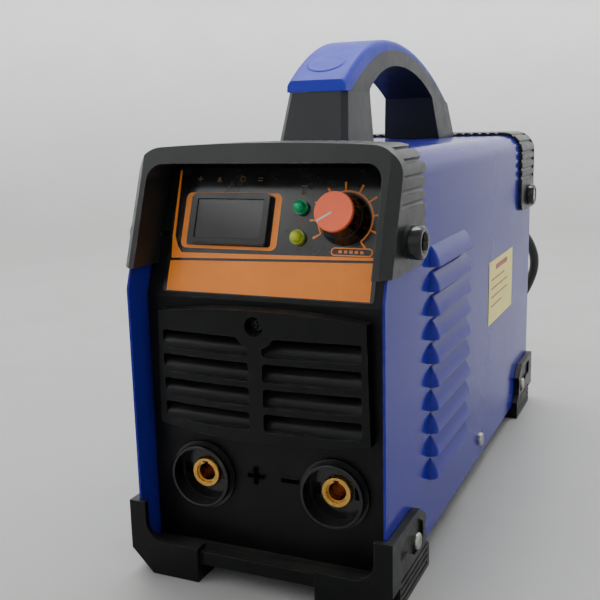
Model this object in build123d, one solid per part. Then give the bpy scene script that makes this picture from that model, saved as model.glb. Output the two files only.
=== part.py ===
"""Inverter welding machine with two twist-lock output sockets, built piece by piece.

Millimetres. +X is to the right when the control panel is faced, +Y runs from front to rear, +Z is up.
The origin is under the middle of the machine, on the surface that it stands on.
"""
from build123d import *
from math import sin, cos, tan, radians, pi
import os

# ---- driving dimensions -------------------------------------------------------------------
WIDTH = 130.0               # outside of the cover
LENGTH = 350.0              # cover, front edge to rear edge
COVER_TOP = 208.0
COVER_BOTTOM = 9.7
SHEET = 1.2                 # painted steel sheet
CORNER_R = 12.0             # top corners of the cover

LEAN = 20.0                 # backward lean of the control panel, degrees
VERTEX_Z = 145.0            # height where the front edge starts to lean back
PANEL_DEPTH = 16.0          # control panel behind the outer corner plane
RIM_PROUD = 5.0             # rim of the bezel in front of the outer corner plane
PANEL_INSET = 15.0          # lower front panel behind the front edge of the cover
PANEL_T = 3.0

BEZEL_SIDE_X = 67.0
BEZEL_TOP = 210.0
BEZEL_CROWN = 2.3           # rise of the top in the middle
BEZEL_BOTTOM = 155.0
BEZEL_BACK = 54.0           # rear edge of the bezel, behind the front edge of the cover
BEZEL_OPENING_X = 59.3
BEZEL_OPENING_TOP = 203.0   # roof of the opening, level from front to back
BEZEL_R = 14.0
RIB_PITCH = 6.0
BOSS_R = 7.3
BOSS_TIP_X = 74.5
BOSS_FLOOR_X = 69.4         # seat of the screw heads in the bosses
BEZEL_BOSS = (26.0, 168.0)  # distance behind the front edge, height

LOUVRES = 10
LOUVRE_PITCH = 12.15
LOUVRE_TOP_LIP = 150.4
LOUVRE_FRONT, LOUVRE_REAR = 66.0, 143.0
LOUVRE_H, LOUVRE_OUT = 10.0, 4.8

FOOT_SIDE_X = 69.0
FOOT_PROUD = 3.0            # feet stand past the ends of the cover by this much
FOOT_EAR_TOP = 37.5
FOOT_SCREW = (35.9, 22.0)

SOCKET_X, SOCKET_Z = 35.1, 49.7
SOCKET_RIM_R = 16.0
SOCKET_BORE_R = 4.5
SOCKET_BRASS_R = 7.7
SOCKET_RIM_INSET = 9.0      # rim of the socket behind the front edge of the cover
SOCKET_BRASS_INSET = 15.5
SOCKET_FLOOR_INSET = 17.8
SOCKET_CUP_R = 14.3
SOCKET_LEAD_IN = 1.6

KNOB_X, KNOB_S = 36.6, 39.9
KNOB_CAP_R, KNOB_SKIRT_R = 9.2, 12.2
SHAFT_R = 3.0
RUNNING_GAP = 0.05

METER_X = (-42.6, -1.0)
METER_S = (25.9, 50.8)
METER_CUT = (39.6, 22.0)    # opening in the panel for the meter's body
METER_VIEW = (35.6, 19.2)   # clear opening of the meter's bezel
LAMP_X = 14.5
LAMP_GREEN_S, LAMP_YELLOW_S = 44.9, 30.7
LABEL_X, LABEL_S = 54.6, (2.0, 64.0)
LAMP_R = 3.6

GRILLE_TOP_Z, GRILLE_BOTTOM_Z = 133.3, 76.7
GRILLE_ROWS = 4
GRILLE_PITCH = 12.0
GRILLE_SLOT, GRILLE_SLOT_X = 8.8, (3.6, 51.2)
GRILLE_SCREW_Z = 129.5

HANDLE_HALF, HANDLE_FOOT_HALF = 16.4, 19.4
HANDLE_EDGE_R = 3.2
HANDLE_FOOT_Y, HANDLE_SEAM_Y, HANDLE_SEAM_Z = 75.3, 84.2, 235.6
HANDLE_CORNER = 2.1         # depth of the slanted cuts down the front corners of the handle
HANDLE_SCREWS = (97.5, 272.0)

BAND_FRONT, BAND_SIDE_X, BAND_TOP, BAND_BOTTOM = 300.0, 67.4, 210.4, 154.0
BAND_BOSS = (328.0, 164.0)

REAR_INSET = 10.0           # rear panel inside the rear edge of the cover
FAN_SIZE, FAN_DEPTH, FAN_BORE_R = 92.0, 25.0, 43.5
FAN_Z = 66.0
FAN_HOLE_PITCH = 82.5
ROTOR_R = 42.0
SWITCH_X, SWITCH_Z = -30.0, 152.0
ROCKER_TILT = 8.0           # each side of level, degrees
GLAND_X, GLAND_Z = 30.0, 134.0
EARTH_X, EARTH_Z = 46.0, 176.0

LEAD_D = 8.0                # mains lead
COIL_X, COIL_Y, COIL_R = -30.0, 243.0, 46.0
PLUG_THICK, PLUG_WIDE, PLUG_LONG = 21.0, 38.0, 40.0
COIL_LAYERS = 3

SCREW_HEAD_R, SCREW_HEAD_H = 4.2, 2.6

# ---- derived places -----------------------------------------------------------------------
FRONT = -LENGTH / 2
REAR = LENGTH / 2
HALF = WIDTH / 2
LEAN_TAN = tan(radians(LEAN))
LEAN_COS = cos(radians(LEAN))
OUTWARD = Vector(0, -cos(radians(LEAN)), sin(radians(LEAN)))
PANEL_FACE = FRONT + PANEL_INSET
REAR_FACE = REAR - REAR_INSET
FAR = 400.0

os.makedirs("parts", exist_ok=True)
NODES = {}


def keep(name, shape):
    """Register one node under its name."""
    NODES[name] = shape
    return shape


# ---- small helpers ------------------------------------------------------------------------
def behind(distance):
    """Y of a place given as a distance behind the cover's front edge."""
    return FRONT + distance


def along_y(sketch, y0, y1):
    """Extrude an (X, Z) sketch from y0 to y1."""
    return extrude(Plane.XZ.offset(-y1) * sketch, y1 - y0)


def along_x(sketch, x0, x1):
    """Extrude a (Y, Z) sketch from x0 to x1."""
    return extrude(Plane.YZ.offset(x0) * sketch, x1 - x0)


def along_z(sketch, z0, z1):
    """Extrude an (X, Y) sketch from z0 to z1."""
    return extrude(Plane.XY.offset(z0) * sketch, z1 - z0)


def leaning(depth):
    """Plane of the control panel, depth inside the outer corner plane; sketches use (X, s)."""
    origin = Vector(0, FRONT, VERTEX_Z) - OUTWARD * depth
    return Plane(origin=origin, x_dir=(1, 0, 0), z_dir=OUTWARD)


def raised(sketch, depth, height):
    """Extrude an (X, s) sketch outward from the plane at this depth."""
    return extrude(leaning(depth) * sketch, height)


def block(xs, ys, zs):
    """Axis-aligned box between pairs of limits."""
    centre = [(a + b) / 2 for a, b in (xs, ys, zs)]
    return Pos(*centre) * Box(*[abs(b - a) for a, b in (xs, ys, zs)])


def disc_x(y, z, r, x0, x1):
    return along_x(Pos(y, z) * Circle(r), x0, x1)


def disc_y(x, z, r, y0, y1):
    return along_y(Pos(x, z) * Circle(r), y0, y1)


def disc_z(x, y, r, z0, z1):
    return along_z(Pos(x, y) * Circle(r), z0, z1)


def both_sides(shape):
    """The shape and its mirror image across the middle plane."""
    return [shape, mirror(shape, about=Plane.YZ)]


def fuse(shapes):
    """One solid from many."""
    result = shapes[0]
    for shape in shapes[1:]:
        result = result + shape
    return result


def arch(half_width, top, radius, bottom):
    """Face with a straight bottom and rounded top corners."""
    face = Pos(0, (top + bottom) / 2) * Rectangle(2 * half_width, top - bottom)
    return fillet(face.vertices().group_by(Axis.Y)[-1], radius)


def crowned_arch(half_width, top, rise, radius, bottom):
    """The same with a top that bows up by rise."""
    sides = Polyline((half_width, top), (half_width, bottom), (-half_width, bottom), (-half_width, top))
    crown = ThreePointArc((-half_width, top), (0, top + rise), (half_width, top))
    face = make_face(Curve() + [sides, crown])
    return fillet([v for v in face.vertices() if v.Y > bottom + 1], radius)


def outline(points):
    """Face inside a closed polygon."""
    return make_face(Polyline(*points, close=True))


def pan_screw(head_r, head_h, shank_r, shank_l):
    """Pan-head screw along +Z from its head's underside at the origin, with a cross recess."""
    head = Pos(0, 0, head_h / 2) * Cylinder(head_r, head_h)
    head = fillet(head.edges().group_by(Axis.Z)[-1], head_h * 0.55)
    slot = Pos(0, 0, head_h) * Box(head_r * 1.1, 0.9, 1.8)
    cross = slot + Rot(0, 0, 90) * slot
    shank = Pos(0, 0, -shank_l / 2) * Cylinder(shank_r, shank_l)
    return head - cross + shank


def screw_x(x, y, z, sign, shank=6.0, head_r=SCREW_HEAD_R, head_h=SCREW_HEAD_H):
    """Screw whose head faces +X or -X, seated at x."""
    turn = Rot(0, 90 * sign, 0)
    return Pos(x, y, z) * turn * pan_screw(head_r, head_h, 1.9, shank)


# ---- cover --------------------------------------------------------------------------------
def lean_outline(depth_above, bottom_z):
    """Region in front of the machine, cut away where the sides lean back."""
    top_z = 230.0
    step = depth_above / LEAN_COS
    y_bottom = FRONT + (bottom_z - VERTEX_Z) * LEAN_TAN
    y_top = FRONT + (top_z - VERTEX_Z) * LEAN_TAN
    return outline([(FRONT - 60, VERTEX_Z), (FRONT, VERTEX_Z), (y_bottom, bottom_z),
                    (y_bottom + step, bottom_z), (y_top + step, top_z), (FRONT - 60, top_z)])


def louvre(lip_z, side):
    """One pressed hood, open below, with rounded ends: the hood and what it opens."""
    y0, y1 = behind(LOUVRE_FRONT) + LOUVRE_OUT, behind(LOUVRE_REAR) - LOUVRE_OUT

    def bulge(out, height, drop):
        curve = ThreePointArc((0, height), (out * 0.66, height * 0.56), (out, 0))
        rest = Polyline((out, 0), (out, -drop), (0, -drop), (0, height)) if drop \
            else Polyline((out, 0), (0, 0), (0, height))
        return make_face(Curve() + [curve, rest])

    def hood(out, height, drop):
        middle = along_y(bulge(out, height, drop), y0, y1)
        front_end = revolve(Plane.XZ.offset(-y0) * bulge(out, height, drop),
                            Axis((0, y0, 0), (0, 0, 1)), -90)
        rear_end = revolve(Plane.XZ.offset(-y1) * bulge(out, height, drop),
                           Axis((0, y1, 0), (0, 0, 1)), 90)
        return middle + front_end + rear_end

    outer = hood(LOUVRE_OUT, LOUVRE_H, 0)
    inner = hood(LOUVRE_OUT - SHEET, LOUVRE_H - 1.6, 0.6)
    slit = block((-SHEET - 1, 0.01), (y0 - 2, y1 + 2), (0, LOUVRE_H - 2.4))
    place = Pos(HALF, 0, lip_z)
    pieces = [place * (outer - inner), place * (inner + slit)]
    return [mirror(p, about=Plane.YZ) for p in pieces] if side < 0 else pieces


def make_cover():
    outer = arch(HALF, COVER_TOP, CORNER_R, COVER_BOTTOM)
    inner = arch(HALF - SHEET, COVER_TOP - SHEET, CORNER_R - SHEET, COVER_BOTTOM - 5)
    cover = along_y(outer - inner, FRONT, REAR)
    cover -= along_x(lean_outline(2.2, BEZEL_BOTTOM), -FAR, FAR)
    hoods, openings = [], []
    for side in (1, -1):
        for row in range(LOUVRES):
            hood, opening = louvre(LOUVRE_TOP_LIP - row * LOUVRE_PITCH, side)
            hoods.append(hood)
            openings.append(opening)
    cover = cover - openings
    return fuse([cover] + hoods)


keep("cover", make_cover())


# ---- base tray ----------------------------------------------------------------------------
def make_tray():
    half, flange = HALF - SHEET - 0.3, 26.0
    tray = block((-half, half), (FRONT + 7.0, REAR - 7.0), (COVER_BOTTOM, COVER_BOTTOM + SHEET))
    for side in (1, -1):
        x_in = side * (half - SHEET)
        tray += block((x_in, side * half), (-144.0, 158.0), (COVER_BOTTOM, COVER_BOTTOM + flange))
    slots = [Pos(x, y, COVER_BOTTOM) * Box(26, 4, 6)
             for x in (-20, 20) for y in range(-80, 81, 16)]
    return tray - slots


keep("base_tray", make_tray())


# ---- front panel --------------------------------------------------------------------------
def panel_profile(inset, thickness, top_s):
    """(Y, Z) outline of a vertical wall that leans back above its bend."""
    def bend(extra):
        origin = Vector(0, FRONT, VERTEX_Z) - OUTWARD * (PANEL_DEPTH + extra)
        y_wall = FRONT + inset + extra
        z_bend = origin.Z + (y_wall - origin.Y) / LEAN_TAN
        tip = origin + Vector(0, sin(radians(LEAN)), cos(radians(LEAN))) * top_s
        return (y_wall, z_bend), (tip.Y, tip.Z)

    outer_bend, outer_tip = bend(0)
    inner_bend, inner_tip = bend(thickness)
    bottom = COVER_BOTTOM + SHEET + 0.2
    return outline([(outer_bend[0], bottom), outer_bend, outer_tip, inner_tip, inner_bend,
                    (inner_bend[0], bottom)])


def make_front_panel():
    half = HALF - SHEET - 0.5
    panel = along_x(panel_profile(PANEL_INSET, PANEL_T, 68.0), -half, half)
    # returns along both edges, which the side screws reach
    for side in (1, -1):
        edge = along_x(panel_profile(PANEL_INSET, 14.0, 62.0), side * (half - 2), side * half)
        panel += edge
    # sill that closes the bottom of the recess
    sill_z = COVER_BOTTOM + SHEET + 0.2
    panel += block((-half, half), (FRONT + 6.3, PANEL_FACE + 1), (sill_z, sill_z + 2.0))
    room = arch(half, COVER_TOP - SHEET - 0.5, CORNER_R - SHEET - 0.5, 0)
    panel = panel & along_y(room, FRONT - 5, 0)
    # rows of slots for air behind the vent grille
    slots = [Pos(x, GRILLE_BOTTOM_Z + 6.0 + row * 4.8) * SlotOverall(44.0, 2.4)
             for x in (-28.0, 28.0) for row in range(9)]
    panel -= along_y(Sketch() + slots, PANEL_FACE - 2, PANEL_FACE + PANEL_T + 1)
    for side in (1, -1):
        panel -= disc_y(side * SOCKET_X, SOCKET_Z, SOCKET_RIM_R - 0.6, PANEL_FACE - 1, PANEL_FACE + 20)
    panel -= disc_y(0, GRILLE_SCREW_Z, 1.6, PANEL_FACE - 1, PANEL_FACE + 5)
    # openings of the control panel
    meter = Pos(sum(METER_X) / 2, sum(METER_S) / 2) * Rectangle(*METER_CUT)
    shaft = Pos(KNOB_X, KNOB_S) * Circle(3.7)
    lamps = [Pos(LAMP_X, s) * Circle(2.7) for s in (LAMP_GREEN_S, LAMP_YELLOW_S)]
    for sketch in [meter, shaft] + lamps:
        panel -= raised(sketch, PANEL_DEPTH + PANEL_T + 1, PANEL_T + 2)
    # raised polarity marks
    bar = Rectangle(9.0, 2.2)
    plus = Pos(-6.2, SOCKET_Z + 3.0) * (bar + Rot(0, 0, 90) * bar)
    minus = Pos(11.8, SOCKET_Z + 3.0) * bar
    panel += along_y(plus, PANEL_FACE - 1.0, PANEL_FACE + 0.5)
    panel += along_y(minus, PANEL_FACE - 1.0, PANEL_FACE + 0.5)
    return panel


keep("front_panel", make_front_panel())


# ---- scalloped mouldings over the cover: front bezel and rear band --------------------------
def rib_cuts(side_x, top_z, corner_r, y0, y1, lowest_z, crown=0.0, lean=0.0):
    """Grooves along Y over the sides, the rounded corners and the top; the sides' start may lean."""
    cuts = []
    radius = 1.3
    side_top = top_z - corner_r
    z = side_top
    while z > lowest_z:
        cuts += both_sides(disc_y(side_x + 0.2, z, radius, y0 - lean * (top_z - z), y1))
        z -= RIB_PITCH
    for angle in (30, 60):
        x = side_x - corner_r + (corner_r + 0.2) * cos(radians(angle))
        z_arc = side_top + (corner_r + 0.2) * sin(radians(angle))
        cuts += both_sides(disc_y(x, z_arc, radius, y0, y1))
    x = 0.0
    while x < side_x - corner_r + 1:
        z_top = top_z + 0.2 + crown * (1 - (x / side_x) ** 2)
        cuts += both_sides(disc_y(x, z_top, radius, y0, y1))[:2 if x else 1]
        x += RIB_PITCH
    return cuts


def scallop_cuts(edge_y, side_x, top_z, corner_r, lowest_z):
    """Round bites, one in each groove, along an edge that runs over both sides and the top."""
    cuts = []
    radius = 1.9
    side_top = top_z - corner_r
    z = side_top
    while z > lowest_z:
        cuts += both_sides(disc_x(edge_y, z, radius, side_x - 4, side_x + 2))
        z -= RIB_PITCH
    for angle in (30, 60):
        spoke = Pos(side_x - corner_r, edge_y, side_top) * Rot(0, 90 - angle, 0)
        bite = spoke * Pos(0, 0, corner_r) * Cylinder(radius, 8)
        cuts += both_sides(bite)
    x = 0.0
    while x < side_x - corner_r + 1:
        cuts += both_sides(disc_z(x, edge_y, radius, top_z - 4, top_z + 5))[:2 if x else 1]
        x += RIB_PITCH
    return cuts


def rounded_heel(edge_y, bottom_z, radius, towards):
    """Waste that rounds the lower corner at edge_y; the moulding lies on the towards side of it."""
    corner = Pos(edge_y + towards * radius / 2, bottom_z + radius / 2) * Rectangle(radius, radius)
    corner -= Pos(edge_y + towards * radius, bottom_z + radius) * Circle(radius)
    return along_x(corner, -FAR, FAR)


def boss(place, tip_x, root_x):
    """Screw boss that stands out sideways: tube and its recess."""
    y, z = place
    tube = disc_x(y, z, BOSS_R, root_x, tip_x)
    tube = fillet(tube.edges().group_by(Axis.X)[-1], 0.8)
    recess = disc_x(y, z, 4.9, BOSS_FLOOR_X, tip_x + 1)
    bore = disc_x(y, z, 2.1, root_x - 20, tip_x + 1)
    return tube, recess, bore


def make_bezel():
    back = behind(BEZEL_BACK)
    front_view = crowned_arch(BEZEL_SIDE_X, BEZEL_TOP, BEZEL_CROWN, BEZEL_R, BEZEL_BOTTOM)
    body = along_y(front_view, FRONT - 40, back)
    in_front = leaning(-RIM_PROUD)
    body -= extrude(in_front * Rectangle(FAR, FAR), 80)
    # slanted faces down both sides of the rim, which run out in the rounded corners
    corner = in_front.origin + Vector(BEZEL_SIDE_X - RIM_PROUD + 0.2, 0, 0)
    slant = Plane(origin=corner, z_dir=Vector(1, 0, 0) + OUTWARD)
    for part in both_sides(extrude(slant * Rectangle(FAR, FAR), 60)):
        body -= part
    # slot that takes the edge of the cover, and the hollow behind the control panel
    gap = 0.15
    sheet_outer = arch(HALF + gap, COVER_TOP + gap, CORNER_R + gap, BEZEL_BOTTOM - 20)
    skirt = arch(HALF - SHEET - 0.5, COVER_TOP - SHEET - 0.5, CORNER_R - SHEET - 0.5,
                 BEZEL_BOTTOM - 20)
    behind_slot = extrude(leaning(2.0) * Rectangle(FAR, FAR), -300)
    behind_panel = extrude(leaning(PANEL_DEPTH - 0.6) * Rectangle(FAR, FAR), -300)
    body -= along_y(sheet_outer - skirt, FRONT - 60, back + 5) & behind_slot
    body -= along_y(skirt, FRONT - 60, back + 5) & behind_panel
    # opening in front of the control panel
    opening = arch(BEZEL_OPENING_X, BEZEL_OPENING_TOP, 8.0, BEZEL_BOTTOM - 60)
    body -= along_y(opening, FRONT - 60, back + 5)
    rib_from = FRONT + (BEZEL_TOP - VERTEX_Z) * LEAN_TAN
    body -= rib_cuts(BEZEL_SIDE_X, BEZEL_TOP, BEZEL_R, rib_from + 2.5, back + 2, 178.0,
                     BEZEL_CROWN, LEAN_TAN)
    body -= scallop_cuts(back, BEZEL_SIDE_X, BEZEL_TOP, BEZEL_R, 160.0)
    body -= rounded_heel(back, BEZEL_BOTTOM, 7.0, -1)
    y, z = BEZEL_BOSS
    tube, recess, bore = boss((behind(y), z), BOSS_TIP_X, HALF + gap)
    for part in both_sides(tube):
        body += part
    for part in both_sides(recess) + both_sides(bore):
        body -= part
    return body


keep("front_bezel", make_bezel())


def make_band():
    front, gap = behind(BAND_FRONT), 0.15
    end = REAR + 2.5
    radius = CORNER_R + BAND_SIDE_X - HALF
    body = along_y(arch(BAND_SIDE_X, BAND_TOP, radius, BAND_BOTTOM), front, end)
    tail = [e for e in body.faces().sort_by(Axis.Y)[-1].edges() if e.center().Z > BAND_BOTTOM + 1]
    body = fillet(tail, 3.5)
    cover_room = arch(HALF + gap, COVER_TOP + gap, CORNER_R + gap, BAND_BOTTOM - 20)
    lip = arch(HALF - 6, COVER_TOP - 6, CORNER_R - 5, BAND_BOTTOM - 20)
    body -= along_y(cover_room, front - 5, REAR + gap)
    body -= along_y(lip, REAR - 5, end + 5)
    body -= rib_cuts(BAND_SIDE_X, BAND_TOP, radius, front - 2, end - 6, 174.0)
    body -= scallop_cuts(front, BAND_SIDE_X, BAND_TOP, radius, 172.0)
    body -= rounded_heel(front, BAND_BOTTOM, 9.0, 1)
    y, z = BAND_BOSS
    tube, recess, bore = boss((behind(y), z), BOSS_TIP_X - 2.5, HALF + gap)
    for part in both_sides(tube):
        body += part
    for part in both_sides(recess) + both_sides(bore):
        body -= part
    return body


keep("rear_band", make_band())


# ---- feet ---------------------------------------------------------------------------------
def make_front_foot():
    ear_in, ear_t = HALF + 0.2, FOOT_SIDE_X - HALF - 0.2
    y0 = FRONT - FOOT_PROUD
    ear = outline([(y0, 0), (y0, FOOT_EAR_TOP), (behind(38.5), FOOT_EAR_TOP), (behind(50.6), 29.7),
                   (behind(48.2), 26.6), (behind(49.4), 16.7), (behind(55.7), 12.0), (behind(55.7), 0)])
    side = along_x(ear, ear_in, ear_in + ear_t)
    # pocket round the screw, open above a row of ribs
    pocket = outline([(behind(9), 33.5), (behind(36.5), 33.5), (behind(44.5), 28.6),
                      (behind(44.0), 17.5), (behind(30.0), 17.5), (behind(20.0), 24.0), (behind(9), 24.0)])
    side -= along_x(pocket, FOOT_SIDE_X - 1.4, FOOT_SIDE_X + 1)
    for z in (13.6, 10.2, 6.8, 3.4):
        side -= block((FOOT_SIDE_X - 0.9, FOOT_SIDE_X + 1), (behind(9), behind(52)), (z - 0.7, z + 0.7))
    side -= disc_x(behind(FOOT_SCREW[0]), FOOT_SCREW[1], 2.1, ear_in - 1, FOOT_SIDE_X + 1)
    # front upright of the ear, corner pad and platform under the tray
    upright = block((HALF - 5, ear_in + 0.5), (y0, FRONT - 0.2), (0, FOOT_EAR_TOP))
    pad_front = block((31, ear_in + 0.5), (y0, behind(5.0)), (0, 9.3))
    pad_wall = block((31, ear_in + 0.5), (y0, FRONT - 0.2), (0, 17.5))
    inner_wall = block((31, HALF - SHEET - 0.6), (y0, behind(5.0)), (0, 17.5))
    platform = block((31, ear_in + 0.5), (y0, behind(55.7)), (0, 9.3))
    corner = side + upright + pad_front + pad_wall + platform + inner_wall
    # quarter-round web between the upright and the pad
    web_r = 10.0
    web = block((HALF - 5 - web_r, HALF - 5), (y0, FRONT - 0.2), (17.5, 17.5 + web_r))
    web -= disc_y(HALF - 5 - web_r, 17.5 + web_r, web_r, y0 - 1, FRONT + 1)
    corner += web
    # slanted outer bottom corner
    waste = outline([(FOOT_SIDE_X + 1, -1), (FOOT_SIDE_X - 13, -1), (FOOT_SIDE_X + 1, 13)])
    corner -= along_y(waste, y0 - 1, behind(8.0))
    foot = corner + mirror(corner, about=Plane.YZ)
    bar = block((-32, 32), (FRONT - 0.4, behind(6.0)), (8.6, 15.2))
    return foot + bar


FOOT = make_front_foot()
keep("front_foot", FOOT)
keep("rear_foot", mirror(FOOT, about=Plane.XZ))


# ---- vent grille --------------------------------------------------------------------------
def make_grille():
    # convex plan: seat on the panel, bowed front
    seat = PANEL_FACE - 0.1
    plan = make_face(Curve() + [ThreePointArc((-55.4, behind(8.6)), (0, behind(4.8)), (55.4, behind(8.6))),
                                Polyline((55.4, behind(8.6)), (55.4, seat), (-55.4, seat),
                                         (-55.4, behind(8.6)))])
    face = make_face(Curve() + [ThreePointArc((-53.6, GRILLE_TOP_Z), (0, GRILLE_TOP_Z + 3.6),
                                              (53.6, GRILLE_TOP_Z)),
                                Line((53.6, GRILLE_TOP_Z), (55.1, GRILLE_BOTTOM_Z)),
                                ThreePointArc((55.1, GRILLE_BOTTOM_Z), (0, GRILLE_BOTTOM_Z - 3.6),
                                              (-55.1, GRILLE_BOTTOM_Z)),
                                Line((-55.1, GRILLE_BOTTOM_Z), (-53.6, GRILLE_TOP_Z))])
    body = along_z(plan, 60, 150) & along_y(face, FRONT, PANEL_FACE)
    for row in range(GRILLE_ROWS):
        low = 115.4 - row * GRILLE_PITCH
        high = low + GRILLE_SLOT
        blade = make_face(Curve() + [
            Polyline((behind(8.0), low), (FRONT, low), (FRONT, high), (seat + 1, high), (seat + 1, low + 6.6),
                     (behind(13.6), low + 6.2)),
            ThreePointArc((behind(13.6), low + 6.2), (behind(9.6), low + 4.2), (behind(8.0), low))])
        way = along_x(blade, *GRILLE_SLOT_X)
        ends = Pos(sum(GRILLE_SLOT_X) / 2, (low + high) / 2) * RectangleRounded(
            GRILLE_SLOT_X[1] - GRILLE_SLOT_X[0], GRILLE_SLOT, 1.5)
        way &= along_y(ends, FRONT - 5, PANEL_FACE + 5)
        if row == 0:
            # the inner top corner gives room to the screw
            way -= disc_y(0, GRILLE_SCREW_Z, 10.8, FRONT - 5, PANEL_FACE + 5)
        for part in both_sides(way):
            body -= part
    body -= disc_y(0, GRILLE_SCREW_Z, 4.75, FRONT, PANEL_FACE - 4.0)
    body -= disc_y(0, GRILLE_SCREW_Z, 1.7, FRONT, PANEL_FACE + 1)
    return body


keep("vent_grille", make_grille())
GRILLE_HEAD_SEAT = PANEL_FACE - 4.0
keep("grille_screw", Pos(0, GRILLE_HEAD_SEAT, GRILLE_SCREW_Z) * Rot(90, 0, 0)
     * pan_screw(3.4, 2.0, 1.5, 9.0))


# ---- control panel ------------------------------------------------------------------------
def make_label():
    label = Pos(0, sum(LABEL_S) / 2) * RectangleRounded(2 * LABEL_X, LABEL_S[1] - LABEL_S[0], 1.5)
    label -= Pos(sum(METER_X) / 2, sum(METER_S) / 2) * Rectangle(*METER_CUT)
    label -= Pos(KNOB_X, KNOB_S) * Circle(3.7)
    for s in (LAMP_GREEN_S, LAMP_YELLOW_S):
        label -= Pos(LAMP_X, s) * Circle(2.7)
    return raised(label, PANEL_DEPTH - 0.05, 0.35)


LABEL_TOP = PANEL_DEPTH - 0.4      # depth of the label's face
keep("control_label", make_label())


def make_meter():
    centre = Pos(sum(METER_X) / 2, sum(METER_S) / 2)
    outer = centre * RectangleRounded(METER_X[1] - METER_X[0], METER_S[1] - METER_S[0], 2.0)
    window = centre * Rectangle(*METER_VIEW)
    frame = raised(outer, LABEL_TOP, 3.2)
    frame -= raised(window, LABEL_TOP - 1.2, 6.0)
    body = centre * Rectangle(METER_CUT[0] - 0.6, METER_CUT[1] - 0.6)
    hollow = centre * Rectangle(METER_CUT[0] - 3.0, METER_CUT[1] - 2.4)
    frame += raised(body - hollow, LABEL_TOP + 14.0, 14.5)
    frame -= raised(window, LABEL_TOP + 20, 40)
    lens = raised(centre * Rectangle(METER_VIEW[0] - 0.2, METER_VIEW[1] - 0.2), LABEL_TOP - 1.6, 1.0)
    display = raised(centre * Rectangle(METER_VIEW[0] - 0.4, METER_VIEW[1] - 0.4), LABEL_TOP + 8.0, 7.0)
    digit_w, digit_h, stroke = 5.6, 10.6, 1.1
    segments = []
    for k in (-1, 0, 1):
        cell = centre * Pos(k * 10.5, 0)
        for s in (-digit_h / 2, 0, digit_h / 2):
            across = cell * Pos(0, s) * Rectangle(digit_w - 1.4, stroke)
            segments.append(raised(across, LABEL_TOP + 1.1, 0.35))
        for x in (-digit_w / 2, digit_w / 2):
            for s in (-digit_h / 4, digit_h / 4):
                segments.append(raised(cell * Pos(x, s) * Rectangle(stroke, digit_h / 2 - 1.4),
                                       LABEL_TOP + 1.1, 0.35))
    return frame, lens, fuse([display] + segments)


METER_FRAME, METER_LENS, METER_DISPLAY = make_meter()
keep("meter_bezel", METER_FRAME)
keep("meter_window", METER_LENS)
keep("display_module", METER_DISPLAY)


def lamp(s):
    """Indicator lamp: domed lens in a round holder."""
    place = leaning(LABEL_TOP) * Pos(LAMP_X, s)
    lens = place * Pos(0, 0, 1.0) * Cylinder(2.5, 7.0)
    lens += place * Pos(0, 0, 4.0) * Sphere(2.5)
    ring = place * (Pos(0, 0, 1.1) * Cylinder(LAMP_R, 2.2) - Pos(0, 0, 1.1) * Cylinder(2.55, 4.0))
    return lens, ring


GREEN_LENS, GREEN_RING = lamp(LAMP_GREEN_S)
YELLOW_LENS, YELLOW_RING = lamp(LAMP_YELLOW_S)
keep("green_lamp", GREEN_LENS)
keep("yellow_lamp", YELLOW_LENS)
keep("lamp_holders", Compound([GREEN_RING, YELLOW_RING]))


def make_knob():
    """Skirt, cap, pointer, and the potentiometer's shaft, nut and body."""
    axis_plane = leaning(LABEL_TOP) * Pos(KNOB_X, KNOB_S)
    cap_face = LABEL_TOP             # the cap's face lies in the outer corner plane
    skirt_h, body_top = 5.0, cap_face - 2.0
    skirt = Pos(0, 0, 0.6 + skirt_h / 2) * Cone(KNOB_SKIRT_R, KNOB_CAP_R + 1.2, skirt_h)
    stem = Pos(0, 0, (0.6 + skirt_h + body_top) / 2) * Cone(KNOB_CAP_R + 0.9, KNOB_CAP_R + 0.1,
                                                         body_top - 0.6 - skirt_h)
    body = skirt + stem
    flutes = [Rot(0, 0, a) * Pos(KNOB_CAP_R + 1.25, 0, 0) * Pos(0, 0, skirt_h + 6.0) * Cylinder(0.7, 9.0)
              for a in range(0, 360, 15)]
    body -= flutes
    bore = Pos(0, 0, 5.0) * Cylinder(SHAFT_R, 12.0)
    body -= bore
    pocket = Pos(0, 0, 1.0) * Cylinder(6.4, 5.2)
    body -= pocket
    cap = Pos(0, 0, (body_top + cap_face) / 2) * Cylinder(KNOB_CAP_R, cap_face - body_top)
    cap = fillet(cap.edges().group_by(Axis.Z)[-1], 0.5)
    line_at = Rot(0, 0, 212) * Pos(KNOB_CAP_R * 0.5 + 0.3, 0, cap_face - 0.2)
    cap -= line_at * Box(KNOB_CAP_R * 0.86, 0.9, 0.6)
    pointer = line_at * Box(KNOB_CAP_R * 0.86, 0.9, 0.5)
    shaft = Pos(0, 0, -3.0) * Cylinder(SHAFT_R, 28.0)
    bush = Pos(0, 0, -1.6) * Cylinder(3.6, 8.0) - Pos(0, 0, -1.6) * Cylinder(SHAFT_R + RUNNING_GAP, 9.0)
    nut = extrude(RegularPolygon(5.6, 6), 2.0) - Pos(0, 0, 1.0) * Cylinder(3.6, 4.0)
    case = Pos(0, 0, -11.1) * Cylinder(8.2, 11.0) - Pos(0, 0, -8.0) * Cylinder(SHAFT_R + RUNNING_GAP, 30.0)
    tags = [Pos(x, -9.5, -9.0) * Box(2.0, 6.0, 1.0) for x in (-5, 0, 5)]
    case = case + bush + tags
    put = [axis_plane * piece for piece in (body, cap, pointer, shaft, nut, case)]
    return put


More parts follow.
